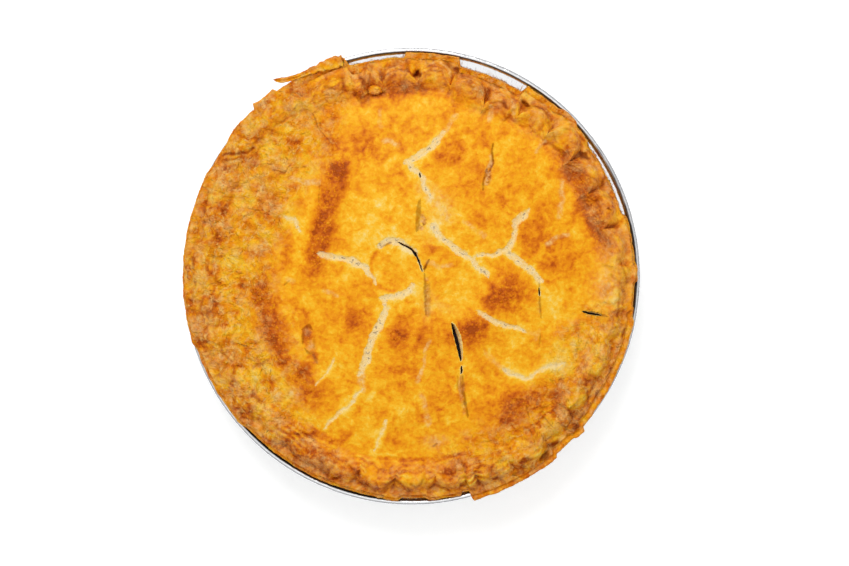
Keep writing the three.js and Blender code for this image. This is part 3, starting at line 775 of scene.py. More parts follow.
faintSplits = (
    (((22, 80), (19.2, 76.6), (15, 70)), 1.8, 0.7), (((9, 40), (14, 35), (17, 30)), 4.5, 0.7),
    (((-25, -48), (-24, -56)), 2.4, 0.8),
    (((77.7, 21.1), (72.7, 19.6), (68.2, 16.2)), 1.6, 0.8),
    (((-58.7, 49.1), (-52.7, 46.6), (-46.2, 46.3)), 1.7, 0.8),
    (((-13.7, 67.6), (-10.5, 67.2), (-6.8, 65.2)), 1.4, 0.8),
    (((-15.2, 82.5), (-16, 78.5), (-15, 74)), 1.4, 0.5),
    (((39.2, 84.6), (39.6, 81.5), (39, 78.6)), 1.8, 0.7),
    (((-66, 30), (-62, 29.4)), 1.4, 0.7), (((56, -27), (62, -29)), 1.5, 0.5),
    (((6, 44), (14, 38), (18, 30)), 6, 0.35),
    (((74.7, 47.1), (75, 40), (73.7, 30)), 1.7, 0.7),
    (((25.7, 27.6), (35.7, 20)), 1.5, 0.5),
    (((8.2, 7.1), (14.2, 4.6), (19.7, 5.8)), 1.3, 0.7),
    (((9, -32), (6.7, -37), (6.7, -44), (3, -52)), 1.3, 0.7),
    (((5.2, -58.8), (7, -66), (8.4, -73)), 2.0, 0.6),
    (((37.2, -38.3), (42.2, -43.3), (47.2, -47)), 1.6, 0.5),
    (((-43.7, -6.8), (-40, -8.5), (-37, -9.6)), 1.3, 0.6),
    (((-61.7, -1), (-58.7, -2.6)), 1.4, 0.6),
    (((-78.9, -46.4), (-71.8, -42.2)), 1.5, 0.5),
    (((62, -31), (63.5, -27)), 1.2, 0.4),
)
# Steam slits that baked shut, and other thin dark lines: points, width, how dark.
scars = (
    (((40.6, 66), (40, 62), (40.6, 56), (38.6, 52)), 0.4, 0.75),
    (((37.4, 53), (35.9, 48), (35.6, 43)), 0.4, 0.7),
    (((4.2, 37), (3.4, 31), (2.8, 23)), 2.0, 0.5), (((3.9, 36), (3.4, 32)), 0.6, 0.6),
    (((6.4, 1), (6.9, -8), (7.2, -19)), 0.9, 0.5), (((9, -4), (9.2, -12), (9, -20)), 0.5, 0.25),
    (((23, -50), (23, -56)), 0.5, 0.35),
    (((25.3, -50), (26, -58), (27.5, -67), (28, -69.5)), 1.0, 0.6),
    (((63.4, -3.5), (63.8, -12), (64.3, -20.5)), 0.6, 0.45), (((64, -29), (63.6, -34.5)), 0.4, 0.4),
    (((5.9, 3.2), (7.2, 5), (8.6, 8)), 0.6, 0.85), (((-15, 14.6), (-10, 16.8)), 0.7, 0.6),
    (((94.7, -19.4), (97, -20)), 0.4, 0.8), (((-48.8, 80.5), (-46.2, 73.4), (-42, 68.6)), 0.3, 0.5),
    (((-53.5, -26), (-51, -24.6), (-49.5, -25.8)), 1.3, 0.55),
    (((-48.4, -31), (-48.2, -35)), 0.8, 0.25),
    (((-53.6, -27), (-53.8, -33)), 0.9, 0.5), (((-52.5, -36.5), (-51, -38), (-48.5, -38)), 1, 0.6),
    (((-49, -38.5), (-47, -43)), 0.8, 0.4), (((-60.5, -2), (-63, -4)), 0.3, 0.45),
    (((57, -64), (58.5, -70)), 0.5, 0.5), (((64, -66), (68, -64.5)), 0.4, 0.45),
    (((61, -72), (66, -70), (70, -75)), 0.5, 0.45), (((50, -61), (55, -61)), 0.4, 0.45),
    (((12.5, -83.3), (11, -84.5)), 0.5, 0.5), (((-45.8, 46), (-46, 37)), 0.3, 0.35),
    (((-69, 53), (-66, 52.5), (-63, 51), (-61.5, 54), (-60, 55.5)), 0.3, 0.6),
    (((-101, 10.2), (-95, 9.8), (-93, 10.2)), 0.3, 0.5), (((-90, 10.2), (-87, 9.8)), 0.3, 0.5),
)
# Soft creases of the rim, dented, a little browner and painted with shade: points, width, how dark the shade
# is.
shadedCreases = (
    # the top
    (((-34.5, 98.5), (-33, 95)), 0.6, 0.6), (((-25.5, 98.5), (-22, 93)), 1.5, 0.65),
    (((-43, 94), (-35, 93.5), (-32, 92.5)), 0.5, 0.5),
    (((-21, 91.5), (-18, 90.7), (-13.5, 91.3)), 0.8, 0.75),
    (((5, 108.3), (14, 108.8), (17, 107.5), (19.5, 104.5), (21.5, 102.5)), 0.4, 0.6),
    (((17, 107), (20, 104), (23.5, 101.3)), 1.6, 0.7),
    (((-21, 98), (-20, 104), (-22, 107)), 0.4, 0.45),
    (((-13.4, 97), (-13.6, 102), (-13, 105)), 0.5, 0.5),
    (((-4, 98), (-1.5, 103), (-3, 108)), 0.6, 0.45),
    # upper right
    (((26, 104), (28, 102), (33, 99), (38, 96.8), (43, 94.5), (47, 93.7)), 0.5, 0.6),
    (((47, 93.7), (51, 91), (54.5, 89.5)), 0.5, 0.6),
    (((41, 86.3), (45, 86.8), (48, 84)), 0.8, 0.6),
    (((53, 88), (51, 82)), 0.5, 0.4), (((56, 83), (60, 84.6), (65, 83.5), (69, 80)), 0.6, 0.45),
    (((76, 73), (80, 73), (83, 70)), 0.6, 0.55),
    (((66, 66), (70, 65.3), (74, 63), (76, 60)), 0.8, 0.55),
    (((25, 101), (27, 96.5), (31, 93.5)), 0.5, 0.45), (((39, 93), (38, 89), (41, 86.3)), 0.6, 0.5),
    (((68, 81), (68.5, 75), (72, 67)), 0.4, 0.35), (((84, 70), (88, 64), (91, 58)), 0.5, 0.45),
    (((97, 50), (96, 47.5), (95.3, 45)), 0.8, 0.65), (((86, 51), (92, 48), (96, 42)), 0.4, 0.35),
    (((91, 38), (95, 40), (100, 39)), 0.5, 0.4), (((93, 27), (97, 25), (102, 26)), 0.5, 0.4),
    # right and lower right
    (((103.5, 8), (106, 2), (107, -3)), 0.3, 0.5), (((99, 1), (103, -3), (106, -7)), 0.3, 0.5),
    (((104, -8), (103, -17), (102.7, -21)), 0.3, 0.5),
    (((108, -22.5), (107.5, -26), (105.5, -30)), 1.3, 0.8),
    (((61, -95), (56, -98), (51, -99)), 1.2, 0.55), (((40, -95), (43, -92), (48, -91)), 0.6, 0.5),
    (((39.5, -91), (43, -88.8), (47, -89.5), (49.5, -93)), 0.5, 0.4),
    (((31, -99), (38, -100.5), (42, -100.5)), 0.6, 0.5),
    (((22, -104.5), (25, -103.5), (27.5, -101.5)), 0.6, 0.5),
    (((90, -47), (86, -56), (80, -66)), 0.9, 0.3), (((70, -87), (64, -84), (60, -79)), 0.9, 0.25),
    # bottom
    (((-13, -105.5), (-8.3, -100.5), (-4, -104), (-2, -106)), 0.7, 0.65),
    (((8, -106.5), (12.2, -102.5), (15, -105), (18, -106.5)), 0.7, 0.65),
    (((-25, -102), (-20, -105.5), (-15, -107.8), (-12.5, -106.3)), 1.1, 0.6),
    (((0, -103), (2, -104.5), (5, -103), (6, -101)), 0.5, 0.5),
    (((16, -104), (21, -106), (26, -104), (27.5, -101.5)), 0.5, 0.5),
    (((19.5, -97), (20.5, -99)), 0.8, 0.6),
    (((16, -97.5), (20, -96), (25, -96)), 0.4, 0.45), (((14, -98.5), (21, -98.5)), 0.3, 0.4),
    (((-31, -94), (-27, -98), (-26, -103)), 0.7, 0.5),
    (((-45, -92), (-41, -96), (-42, -101)), 0.8, 0.5),
    # left
    (((-94, 60.5), (-88, 61.5), (-82, 62), (-79, 63.5)), 0.8, 0.7),
    (((-92, 57.5), (-86, 59)), 0.5, 0.55),
    (((-74, 69), (-79, 65)), 0.6, 0.5),
    (((-93.5, 39.3), (-90, 39.5), (-84, 38.5)), 0.5, 0.45), (((-98, -2), (-95, -3.5)), 0.6, 0.55),
    (((-109, 8), (-108, 3)), 0.5, 0.5), (((-78.5, -46), (-73.5, -43)), 0.5, 0.5),
    (((-86, -4), (-80, -5)), 0.4, 0.4), (((-84, -60), (-80, -66), (-79, -72)), 0.5, 0.4),
    (((-67, -75), (-62, -78), (-55, -79)), 0.5, 0.4),
    (((-97, -30), (-94, -38), (-90, -42)), 0.4, 0.35),
)
# Shut slits whose torn middle shows: points, width, how much of it.
stains = (
    (((39.8, 57), (38.5, 51), (37.2, 46)), 2.4, 0.9), (((5.4, 30), (5.8, 27), (4.8, 23.5)), 3, 0.8),
    (((7.4, -1), (7.9, -10), (7.9, -19)), 2.4, 0.45), (((-51.5, -27), (-51.5, -29)), 2.4, 0.4),
    (((-50.5, -33), (-50, -36.5)), 2.4, 0.45),
    (((-49, -38), (-47, -43)), 1.4, 0.5), (((24.5, -50), (24.8, -58), (26.5, -68)), 2.2, 0.5),
    (((63.8, -12), (63.4, -19)), 1.5, 0.3),
)
blisterSpots = ((-21.7, 62.2, 2.2), (-55.7, -19.8, 3.2), (60.7, -9.8, 2.8), (-3.2, -16.8, 4.4),
                (-8.2, -29.3, 2.2), (18.6, 62.4, 6.2), (60.2, -63.5, 2.6), (14.5, -68, 2))
# Hollows between and under the rim's folds, dented and painted with shade: middle, half length, half width,
# turn, depth.
shadedRimHollows = (
    (2.8, 101, 2.5, 2.2, 20, 1), (24, 103, 3, 1.5, -20, 0.9), (57, 86, 3, 1.5, -40, 0.85),
    (86.5, 60, 4.2, 2, -25, 0.85), (98.3, 33.3, 1.2, 1, 0, 0.7), (-24, 96, 3, 1.7, -60, 0.5),
    (71.5, -84, 4, 2.8, 30, 1), (67, -89.5, 3.4, 1.8, 40, 0.85), (84, -73, 6, 2.2, 55, 0.7),
    (94, -58, 6, 1.7, 62, 0.7), (99, -49, 5, 1.6, 66, 0.6), (105.5, -31, 6, 1.3, 74, 0.5),
    (57, -91.5, 3.4, 1.7, 20, 0.55), (-38, -100.5, 4, 1.5, 10, 0.5), (79, -80, 2.5, 1.6, 45, 0.6),
)
paleSpots = (
    (-67.3, -60, 2.6, 2.2, 0, 1), (-60, -58, 4, 2.6, 0, 0.85), (-73, -65.5, 3.4, 2.2, -30, 0.75),
    (-66, -71.5, 2.2, 2.2, 0, 0.8), (-52, -82.4, 4, 2, 0, 0.75), (-47.5, -84, 2, 1.6, 0, 0.6),
    (-36.5, -88.5, 2.4, 2, 0, 0.55), (-31, -92, 2.4, 2, 0, 0.5), (-28.5, -102.5, 2, 2, 0, 0.55),
    (-80, -57.5, 4, 3, -45, 0.5), (-101, -22, 4.5, 3.4, 80, 0.5), (-100, -28, 3, 2.4, 0, 0.4),
    (12.1, -82, 4.5, 2.6, 10, 0.8), (13, 28, 5, 10, -30, 0.3), (8.2, -14, 2.6, 6, 0, 0.4),
    (98, -6, 6, 12, 0, 0.6), (99, 12, 6, 12, 0, 0.35), (100, 21, 2.4, 2, 0, 0.5),
    (105, 17, 2, 3, 0, 0.5), (104, 8, 3, 2, 0, 0.45), (97, 12, 2, 2, 0, 0.4),
    (88, -38, 4, 3, -50, 0.5), (86, -46, 4, 3, -50, 0.4), (12, -14, 9, 3, -20, 0.2), (-66, 55, 7, 3, 0, 0.5),
    (-73, 42, 4, 3, 0, 0.45), (-71, 35, 4, 3, 0, 0.4), (-101, 27, 3, 2.6, 0, 0.55),
    (-106, 13, 2.6, 3.4, 0, 0.6), (-107, -3, 3, 4, 0, 0.55), (-103, -8, 2.4, 2, 0, 0.5),
    (-84, 34, 5, 4, 0, 0.3), (-29, 100, 4, 5, -30, 0.6), (-18.5, 101, 5, 1.6, -50, 0.5),
    (-7, 102, 2, 1.6, 0, 0.4), (60.5, 89.5, 6, 3.6, -35, 0.55), (72, 73, 3, 8, -30, 0.45),
    (77, 80, 10, 2, -50, 0.4), (89, 60, 8, 1.6, -60, 0.4), (28, 97, 3, 3, 0, 0.4),
    (47, 89, 5, 3, -20, 0.35), (64, 81, 5, 2, -30, 0.3), (80, 69, 4, 2, -40, 0.35),
    (92, 45, 5, 2.4, -30, 0.35), (-8, -106.5, 3.4, 2.2, 0, 0.55), (12, -106.5, 3.2, 2.2, 0, 0.55),
    (37, -104, 8, 2.4, 12, 0.4), (81, -71, 1.6, 1.6, 0, 0.6), (70, -88, 1, 1, 0, 0.8),
    (56, -72, 2.4, 2, 0, 0.4), (-51.5, -27.5, 1.4, 1.2, 0, 0.7), (-49.8, -35.5, 1.6, 1.2, 0, 0.7),
    (-92, -75, 5, 3, -40, 0.3), (-55, 84, 7, 4, 30, 0.3), (-90, 47, 6, 4, 60, 0.3),
)
# Paler lines, such as the pleats between lumps: points, half width, strength.
paleLines = (
    (((7, 106), (14, 107.5), (18, 104), (19.5, 100)), 0.9, 0.65),
    (((31, 94), (35, 93), (34, 89.5)), 1.3, 0.7), (((50.5, 87), (50.7, 81)), 1.1, 0.7),
    (((66, 68), (62.5, 62)), 0.9, 0.7), (((93, 54), (78, 56.5)), 0.7, 0.6),
    (((82, 53), (92, 54)), 1.4, 0.5), (((97.5, 42), (99.5, 50)), 1.3, 0.5),
    (((84, -52), (82, -60)), 1, 0.5), (((80, -33), (82, -40)), 1.4, 0.5),
    (((-92, 56), (-86, 57.5)), 0.8, 0.55), (((-17, 105), (-15, 98)), 0.8, 0.5),
    (((24, -50.5), (24.3, -57)), 0.6, 0.7), (((39.3, 60), (38.4, 55), (37.6, 49)), 0.6, 0.6),
    (((-103, 34), (-105, 22)), 1.2, 0.35), (((-76, 57), (-66, 60)), 1, 0.35),
    (((-70, -47), (-76, -43)), 0.8, 0.5),
)


def flutePhase(angle):
    # 0 in a pinched V of the rim and pi on the lump between two, drifting as a hand does
    drift = 0.95 * (1 - np.cos(np.radians(angle - 50))) + 0.2 * np.sin(np.radians(7 * angle + 40))
    return np.radians(lid["fluteCount"] * (angle - lid["fluteStart"])) + np.pi + drift


def hills(x, y, spots):
    # for each spot its amount, and how far every point is up its hill
    for spot in spots:
        yield spot[5], patch(x, y, spot)


def softLines(x, y, lines, outer, inner):
    # the strongest of several lines at each point, and their sum: strength times an S step from
    # outside to inside, each a share of the line's width plus a distance
    strongest, total = np.zeros(x.shape), np.zeros(x.shape)
    for line, width, strength in lines:
        away, _, _ = lineGap(x, y, line)
        start, end = (share * width + more for share, more in (outer, inner))
        near = strength * smooth(start, end, away)
        strongest, total = np.maximum(strongest, near), total + near
    return strongest, total


def rimForm(angle, inward):
    # the fluted rim: flutes push points in and out of a circle, and the crest, pleats and notches
    # are bells across the rim
    crisp = lid["faintFlute"] + sumOfArcs(angle, lid["crispFlutes"])
    turn = np.radians(angle)
    plain = np.maximum(lidEdge(angle) - inward, 0)
    px, py = plain * np.cos(turn), plain * np.sin(turn)
    stray = lid["stray"] * (1 + arcWindow(angle, 228, 352, 20))
    phase = flutePhase(angle) + 0.25 * stray * fractal(px, py, 14, 2, 12)
    full = np.abs(np.sin(phase / 2)) ** 0.55  # 1 on a lump, 0 in a V
    unlike = hashed(np.floor(phase / (2 * np.pi)).astype(np.int64), 3, 11) - 0.5
    near = inward - lid["crestFromEdge"]
    swing = lid["fluteSwing"] * crisp * (full * (1 + 0.4 * unlike) - 0.6) * bell(near / 10)
    r = plain + swing
    x, y = r * np.cos(turn), r * np.sin(turn)
    near = near + 0.8 * stray * fractal(px, py, 12, 2, 13)
    slope = np.where(near < 0, lid["crestOut"], lid["crestIn"])
    pinch = 1 - np.where(near < 0, 0.5, 0.2) * crisp * (1 - full) + 0.35 * unlike * crisp * full
    pinch = pinch * (1 - sumOfArcs(angle, lid["flatCrest"]))
    # a pleat runs inwards from each V, and a notch opens on its outer side
    fromV = ((phase + np.pi) % (2 * np.pi) - np.pi) / lid["fluteCount"] * np.maximum(r, 1)
    pleat = peak(fromV / 2) * bell((inward - 13) / 6) * crisp
    notch = peak(fromV / 1.3) * bell((inward - 4.5) / 3.5) * crisp
    lump = (1 - smooth(13, 20, inward)) * full * crisp
    return x, y, r, {
        "crest": pinch * bell(near / slope),
        "pleat": pleat,
        "pleatFoot": pleat * smooth(9, 14, inward),
        "notch": notch,
        # painted shade in each notch, of random strength
        "shade": notch * hashed(np.round(phase / (2 * np.pi)).astype(np.int64), 5, 83),
        # paler tops of the lumps: drier dough and a painted highlight
        "litLumpTop": lump * smooth(-0.3, 0.5, bumps(x, y, 9, 102)),
        "rimEdge": (1 - smooth(1, 3, inward)) * smooth(-0.2, 0.3, bumps(x, y, 9, 101)),
    }


def tornForm(x, y, angle, inward):
    # flaky skin: the rim all round, and the left and lower right well inwards; its torn layers
    # are warped noise cut into steps, and folds
    left, crumbly = arcWindow(angle, 118, 232, 30), arcWindow(angle, 284, 350, 24)
    reach = 14 + 30 * left + 15 * crumbly
    flaky = 1 - smooth(reach - 10, reach + 10, inward + 9 * fractal(x, y, 16, 3, 5))
    flaky = flaky * (0.45 + 0.5 * left + 0.4 * crumbly)
    for amount, hill in hills(x, y, smoothAreas):
        flaky = flaky * (1 - amount * hill)
    wx, wy = 3 * fractal(x, y, 11, 3, 21), 3 * fractal(x, y, 11, 3, 22)
    broad, _ = layers(fractal(x + wx, y + wy, 12, 3, 31) * 0.5 + 0.5, 7, 0.5)
    small, leaf = layers(fractal(x + wy, y - wx, 6, 2, 37) * 0.5 + 0.5, 6, 0.6)
    fade = flaky * smooth(0.3, 3, inward)
    return {
        "flaky": flaky,
        "broadLayers": fade * (broad - 0.5),
        "smallLayers": fade * (small - 0.5),
        "folds": fade * (folds(x + wx, y + wy, 8, 2, 33) - 0.4),
        "leaf": flaky * (hashed(leaf, 0, 97) - 0.5),
        "leafEdge": flaky * (0.5 - small),
        "flakyPatch": flaky * fractal(x + wx, y + wy, 11, 2, 100),
        "broadPatch": flaky * fractal(x, y, 22, 2, 99),
        "dry": flaky * smooth(0.05, 0.45, fractal(x + wx, y + wy, 10, 3, 98)),
    }


def lineForm(x, y):
    # splits, shut slits, creases painted with shade, stains and bands, each straying a little from its line
    sx, sy = x + 0.9 * bumps(x, y, 5, 72), y + 0.9 * bumps(x, y, 5, 73)
    splitSide, splitHalf, raw, edge = nearestLines(sx, sy, splits, 0.5 * bumps(x, y, 3.4, 71))
    cx, cy = x + 0.25 * bumps(x, y, 4, 72), y + 0.25 * bumps(x, y, 4, 73)
    scarSide, scarHalf, scarDark, _ = nearestLines(cx, cy, scars, 0.4 * bumps(x, y, 2.4, 74))
    faint, _ = softLines(sx, sy, faintSplits, (1, 0), (0.3, 0))
    paleLine, paleRise = softLines(sx, sy, paleLines, (1, 0.4), (1, -0.5))
    shadedCrease, _ = softLines(sx, sy, shadedCreases, (0.5, 1.1), (0.5, -0.3))
    stain = np.zeros(x.shape)
    for line, width, strength in stains:
        away, share, _ = lineGap(sx, sy, line)
        half = width / 2 * (0.45 + 0.55 * np.sin(np.pi * np.clip(share, 0.05, 0.95)) ** 0.5)
        stain = np.maximum(stain, strength * smooth(half + 0.8, half - 0.7, away))
    bx, by = x + 1.4 * fractal(x, y, 9, 3, 75), y + 1.4 * fractal(x, y, 9, 3, 76)
    band, groove = np.zeros(x.shape), np.zeros(x.shape)
    for line, half, change in bands:
        away, share, _ = lineGap(bx, by, line)
        along = change * (0.3 + 0.7 * smooth(0, 0.15, share) * smooth(1, 0.85, share))
        near = smooth(1.5 * half, 0.3 * half, away) * along
        band = band + near
        groove = groove + near * (half < lid["thinBand"])
    return {
        "split": smooth(0.5, -0.8, edge) * (0.4 + 0.6 * raw),
        "splitLip": peak((edge - 1.1) / 0.8),
        "besideSplit": np.exp(-np.clip(edge, 0, None) / 2.0) * (edge < 8.9),
        "splitSide": splitSide,
        "splitHalf": splitHalf - 0.5 * (1 - raw) * (raw > 0) + 0.5 * bumps(x, y, 9, 77),
        "scar": scarDark * smooth(0.9, 0.0, np.abs(scarSide) - np.maximum(scarHalf, 0)),
        "scarSide": scarSide,
        "scarHalf": scarHalf,
        "scarDark": scarDark,
        "faint": faint,
        "paleLine": paleLine,
        "paleRise": paleRise,
        "sliver": stain,
        "shadedCrease": shadedCrease * np.clip(0.85 + 0.8 * bumps(x, y, 5, 78), 0.3, 1),
        "band": band,
        "groove": groove,
    }


def lumpForm(x, y, angle, inward):
    # lumps of dough along the rim: warped cells that bulge, with creases between them painted with shade and
    # a little browner
    ux, uy = x + 3.6 * fractal(x, y, 9, 3, 84), y + 3.6 * fractal(x, y, 9, 3, 85)
    first, second, tint = cellGaps(ux, uy, lid["lumpSize"], 86)
    lumpy = (1 - smooth(13, 19, inward)) * (lid["lumps"] + sumOfArcs(angle, lid["lumpier"]))
    border = smooth(0.25, 0.02, second - first) * np.clip(0.3 + 1.5 * bumps(x, y, 9, 87), 0, 1)
    fade = lumpy * smooth(0.5, 3, inward)
    return {
        "lump": fade * (0.35 - first**2),
        "lumpGap": fade * border,
        "shadedLumpBorder": lumpy * border,
        "lumpTint": lumpy * (tint - 0.5),
        "lumpPale": lumpy * smooth(0.55, 0.8, tint) * smooth(0.6, 0.3, first),
    }


def spotForm(x, y, angle, inward):
    # swells, ripples along the rim's folds, blisters, the round press mark, and hollows dented and painted
    # with shade
    ripple = lid["ripple"] + sumOfArcs(angle, lid["rippled"])
    ripple = ripple * np.clip(0.4 + 1.1 * bumps(x, y, 12, 42), 0, 2)
    ripple = ripple * smooth(3, 6, inward) * (1 - smooth(15, 21, inward))
    wander = 1.1 * fractal(x, y, 8, 2, 41)
    swell = sum(rise * hill for rise, hill in hills(x, y, swells))
    skin = 0.4 * fractal(x, y, 14, 3, 61) + 0.2 * fractal(x, y, 4, 2, 62)
    blister, blisterRing = 0, 0
    for px, py, size in blisterSpots:
        away = np.hypot(x - px, y - py) / size
        blister = blister + smooth(1, 0.5, away)
        blisterRing = blisterRing + peak((away - 1) / 0.22)
    px, py, radius = lid["press"]
    away = np.hypot(x - px, y - py) - radius
    around = np.degrees(np.arctan2(y - py, x - px)) % 360
    hollowShade = np.zeros(x.shape)
    hx, hy = x + 1.2 * bumps(x, y, 3, 81), y + 1.2 * bumps(x, y, 3, 82)
    for depth, hill in hills(hx, hy, shadedRimHollows):
        hollowShade = np.maximum(hollowShade, depth * smooth(0.3, 0.75, hill))
    return {
        # the ripples' browning weight makes their troughs browner and their crests paler, as painted shade
        "ripple": ripple * np.sin(2 * np.pi * (inward + wander) / lid["rippleWidth"]),
        "swell": swell * smooth(lid["rimWidth"] - 5, lid["rimWidth"] + 7, inward),
        "skin": skin * smooth(0.5, 4, inward),
        "blister": blister,
        "blisterRing": blisterRing,
        "pressRing": peak(away) * (0.4 + 0.6 * arcWindow(around, 95, 260, 60)),
        "pressDisc": smooth(1, -3, away),
        "hollowShade": hollowShade,
        "dip": hollowShade * smooth(0, 3, inward),
    }


def weighted(forms, weights):
    # each named form times its weight
    return [weight * forms[name] for name, weight in weights.items()]


def lidForm(angle, inward):
    # the lid's top: dome and rim plus every form times its height, and the values its colours need
    x, y, r, forms = rimForm(angle, inward)
    forms |= tornForm(x, y, angle, inward) | lineForm(x, y)
    forms |= lumpForm(x, y, angle, inward) | spotForm(x, y, angle, inward)
    shell = lidFloor(r) + dough["thickness"]
    foot = mix(lid["edgeTop"], shell, smooth(0, lid["rimWidth"] - 2, inward))
    z = foot + sum(weighted(forms, lid["heights"]))

    bake = lid["bake"] + sum(weighted(forms, lid["browning"]))
    for cell, octaves, seed, amount in lid["unevenBake"]:
        bake = bake + amount * fractal(x, y, cell, octaves, seed)
    rimBake = lid["rimBake"] + sumOfArcs(angle, lid["rimBakeMore"]) + 0.16 * fractal(x, y, 8, 3, 96)
    bake = bake + (1 - smooth(13, 20, inward)) * rimBake
    sx, sy = x + 1.5 * fractal(x, y, 9, 3, 94), y + 1.5 * fractal(x, y, 9, 3, 95)
    bake = bake + sum(change * hill for change, hill in hills(sx, sy, bakeSpots))
    pale = np.maximum.reduce(weighted(forms, lid["paleness"]))
    for strength, hill in hills(sx, sy, paleSpots):
        pale = np.maximum(pale, strength * hill)

    known = {key: forms[key] for key in plainDough if key in forms}
    known["bake"] = np.minimum(bake, lid["brownest"])
    known["pale"] = pale * (1 - forms["shadedCrease"])
    known["hollowShade"] = np.clip(np.maximum.reduce(weighted(forms, lid["paintedShade"])), 0, 1)
    return np.stack([x, y, z], -1), known


def blurGrid(values, reach):
    # the mean over a square of the grid, by running sums along rows and columns
    for axis in (0, 1):
        padded = np.pad(values, [(reach + 1, reach) if a == axis else (0, 0) for a in (0, 1)], "edge")
        sums = np.cumsum(padded, axis)
        size = values.shape[axis]
        high = np.take(sums, np.arange(2 * reach + 1, 2 * reach + 1 + size), axis)
        low = np.take(sums, np.arange(0, size), axis)
        values = (high - low) / (2 * reach + 1)
    return values


def makeLid():
    rings, rimRings = lid["rings"], lid["rimRings"]
    ring, angle, quads, loop = discGrid(rings)
    middleRings = rings - rimRings
    edge = lidEdge(angle)
    onMiddle = lid["innerRadius"] * ring / middleRings
    onRim = mix(lid["innerRadius"], edge - 0.4, (ring - middleRings) / rimRings)
    points, known = lidForm(angle, edge - np.where(ring <= middleRings, onMiddle, onRim))
    n = 2 * rings + 1
    z = points[:, 2].reshape(n, n)
    # places lower than the mean around them get painted shade, browner and darker, and higher places are
    # painted paler
    cavities = []
    for reach, depth in lid["cavities"]:
        cavities.append(np.clip((blurGrid(z, reach) - z) / depth, -1, 1).ravel())
    known["bake"] = known["bake"] + lid["cavityWarmShade"] * cavities[0] * known["flaky"]
    deep = sum(lid["cavityShade"] * np.clip(cavity - 0.3, 0, 1) for cavity in cavities)
    known["hollowShade"] = np.clip(known["hollowShade"] + deep * known["flaky"], 0, 1)
    # from the rim down over the edge and back under the dome
    rimAngle = angle[loop]
    turn = np.radians(rimAngle)
    under = dough["ledgeTop"] + dough["gap"]
    outer = lidEdge(rimAngle) + 0.35 * fractal(rimAngle * 2, 0 * rimAngle, 5, 3, 111)
    below = []
    for r, height in ((outer + 0.1, under + 1.0), (outer, under + 0.45), (outer - 0.4, under)):
        below.append(ringAt(r, turn, height))
    sideCount = len(loop) * len(below)
    for radius in (97, 86, 70, 48, 24):
        below.append(ringAt(radius, turn[::4], lidFloor(radius)))
    total, rows = len(points), [loop]
    for part in below:
        rows.append(total + np.arange(len(part)))
        total += len(part)
    allPoints = np.concatenate([points] + below + [np.array([[0, 0, lidFloor(0)]])])
    faces = [quads, strips(rows[:4]), thinning(rows[3], rows[4]), strips(rows[4:])]
    faces.append(fan(rows[-1], total))
    mottle = fractal(np.tile(rimAngle, 3) * 2, np.repeat([0.0, 9, 18], len(loop)), 4, 3, 112)
    rest = doughFields(len(allPoints) - len(points), flaky=0.9)
    rest["bake"][:sideCount] = 0.6 + 0.2 * mottle
    fields = {key: np.concatenate([known[key], rest[key]]) for key in known}
    return addPiece("lid_crust_skin", makeMesh("lid_crust_skin", allPoints, faces, fields))


# Open slits: points, width at the top and at the bottom, shift of the top towards the right, and
# how uneven the width is.
openSlits = (
    (((19.9, -23.2), (21.3, -28), (23.2, -34.5), (24.6, -42.2)), 3.3, 1.7, 0.75, 0.1),
    (((24.9, -44.4), (24.8, -46.5), (24.6, -48.5)), 1.2, 0.7, 0.1, 0.2),
    (((85, -17.5), (88, -18.3), (91, -18.8), (94.7, -19.4)), 1.4, 1.0, 0.1, 0.1),
    (((63.3, -5.6), (63.7, -9.8)), 0.9, 0.8, 0.1, 0.2),
    (((-7, 17), (-3.2, 15.2), (0.3, 13.2), (2.8, 9.6), (4.2, 6), (5.4, 2.2)), 1.7, 1.0, 0.2, 0.7),
    (((4.0, 51.4), (4.4, 48.8)), 1.0, 0.8, 0.1, 0.2),
)


def slitCutter(line, topWidth, bottomWidth, shift, unevenness):
    # a wedge along a bent line: lens shaped from above, wider at the top, its walls cut dough
    points = np.array(line, float)
    steps = 22
    lengths = lengthsAlong(points)
    t = np.linspace(0, 1, steps)
    x, y = (np.interp(t * lengths[-1], lengths, points[:, k]) for k in (0, 1))
    right = rightOf(x, y)
    if right[len(right) // 2, 0] < 0:
        right = -right
    lens = (0.16 + 0.84 * np.sin(np.pi * t) ** 0.55)[:, None]
    ragged = 0.2 * bumps(x * 3, y * 3, 4, 131)[:, None]
    uneven = 1 + unevenness * bumps(x, y, 2.6, 132)[:, None]
    middle = np.stack([x, y], -1)
    floor = lidFloor(np.hypot(x, y).mean())
    around = []
    # rows below the lid, at its floor, and above it; the walls flare by the share 0 to flare and
    # have the wanted top width where the share is 1, 4 mm over the floor
    flare = 2.3
    for height, share in ((30.0, 0), (floor + 0.3, 0), (floor + 9, flare)):
        width, offset = mix(bottomWidth, topWidth, share), share * shift
        sides = []
        for side in (-1, 1):
            sides.append(middle + right * ((offset + side * width / 2) * lens * uneven + ragged))
        ring = np.concatenate([sides[0], sides[1][::-1]])
        around.append(np.column_stack([ring, np.full(len(ring), height)]))
    count = 2 * steps
    rows = [np.arange(count) + k * count for k in (2, 1, 0)]
    plan = around[0]
    area = np.sum(plan[:, 0] * np.roll(plan[:, 1], -1) - plan[:, 1] * np.roll(plan[:, 0], -1))
    if area < 0:
        rows = [row[::-1] for row in rows]
    caps = [rows[0][None, :], rows[2][::-1][None, :]]
    fields = doughFields(3 * count, splitSide=0, splitHalf=1)
    mesh = makeMesh("slitCutter", np.concatenate(around), [strips(rows)] + caps, fields)
    return addPiece("slitCutter", mesh)


curl = {"x": -18, "y": 92.6, "halfLong": 4.1, "halfWide": 2.4, "halfHigh": 2.0, "turn": 4}


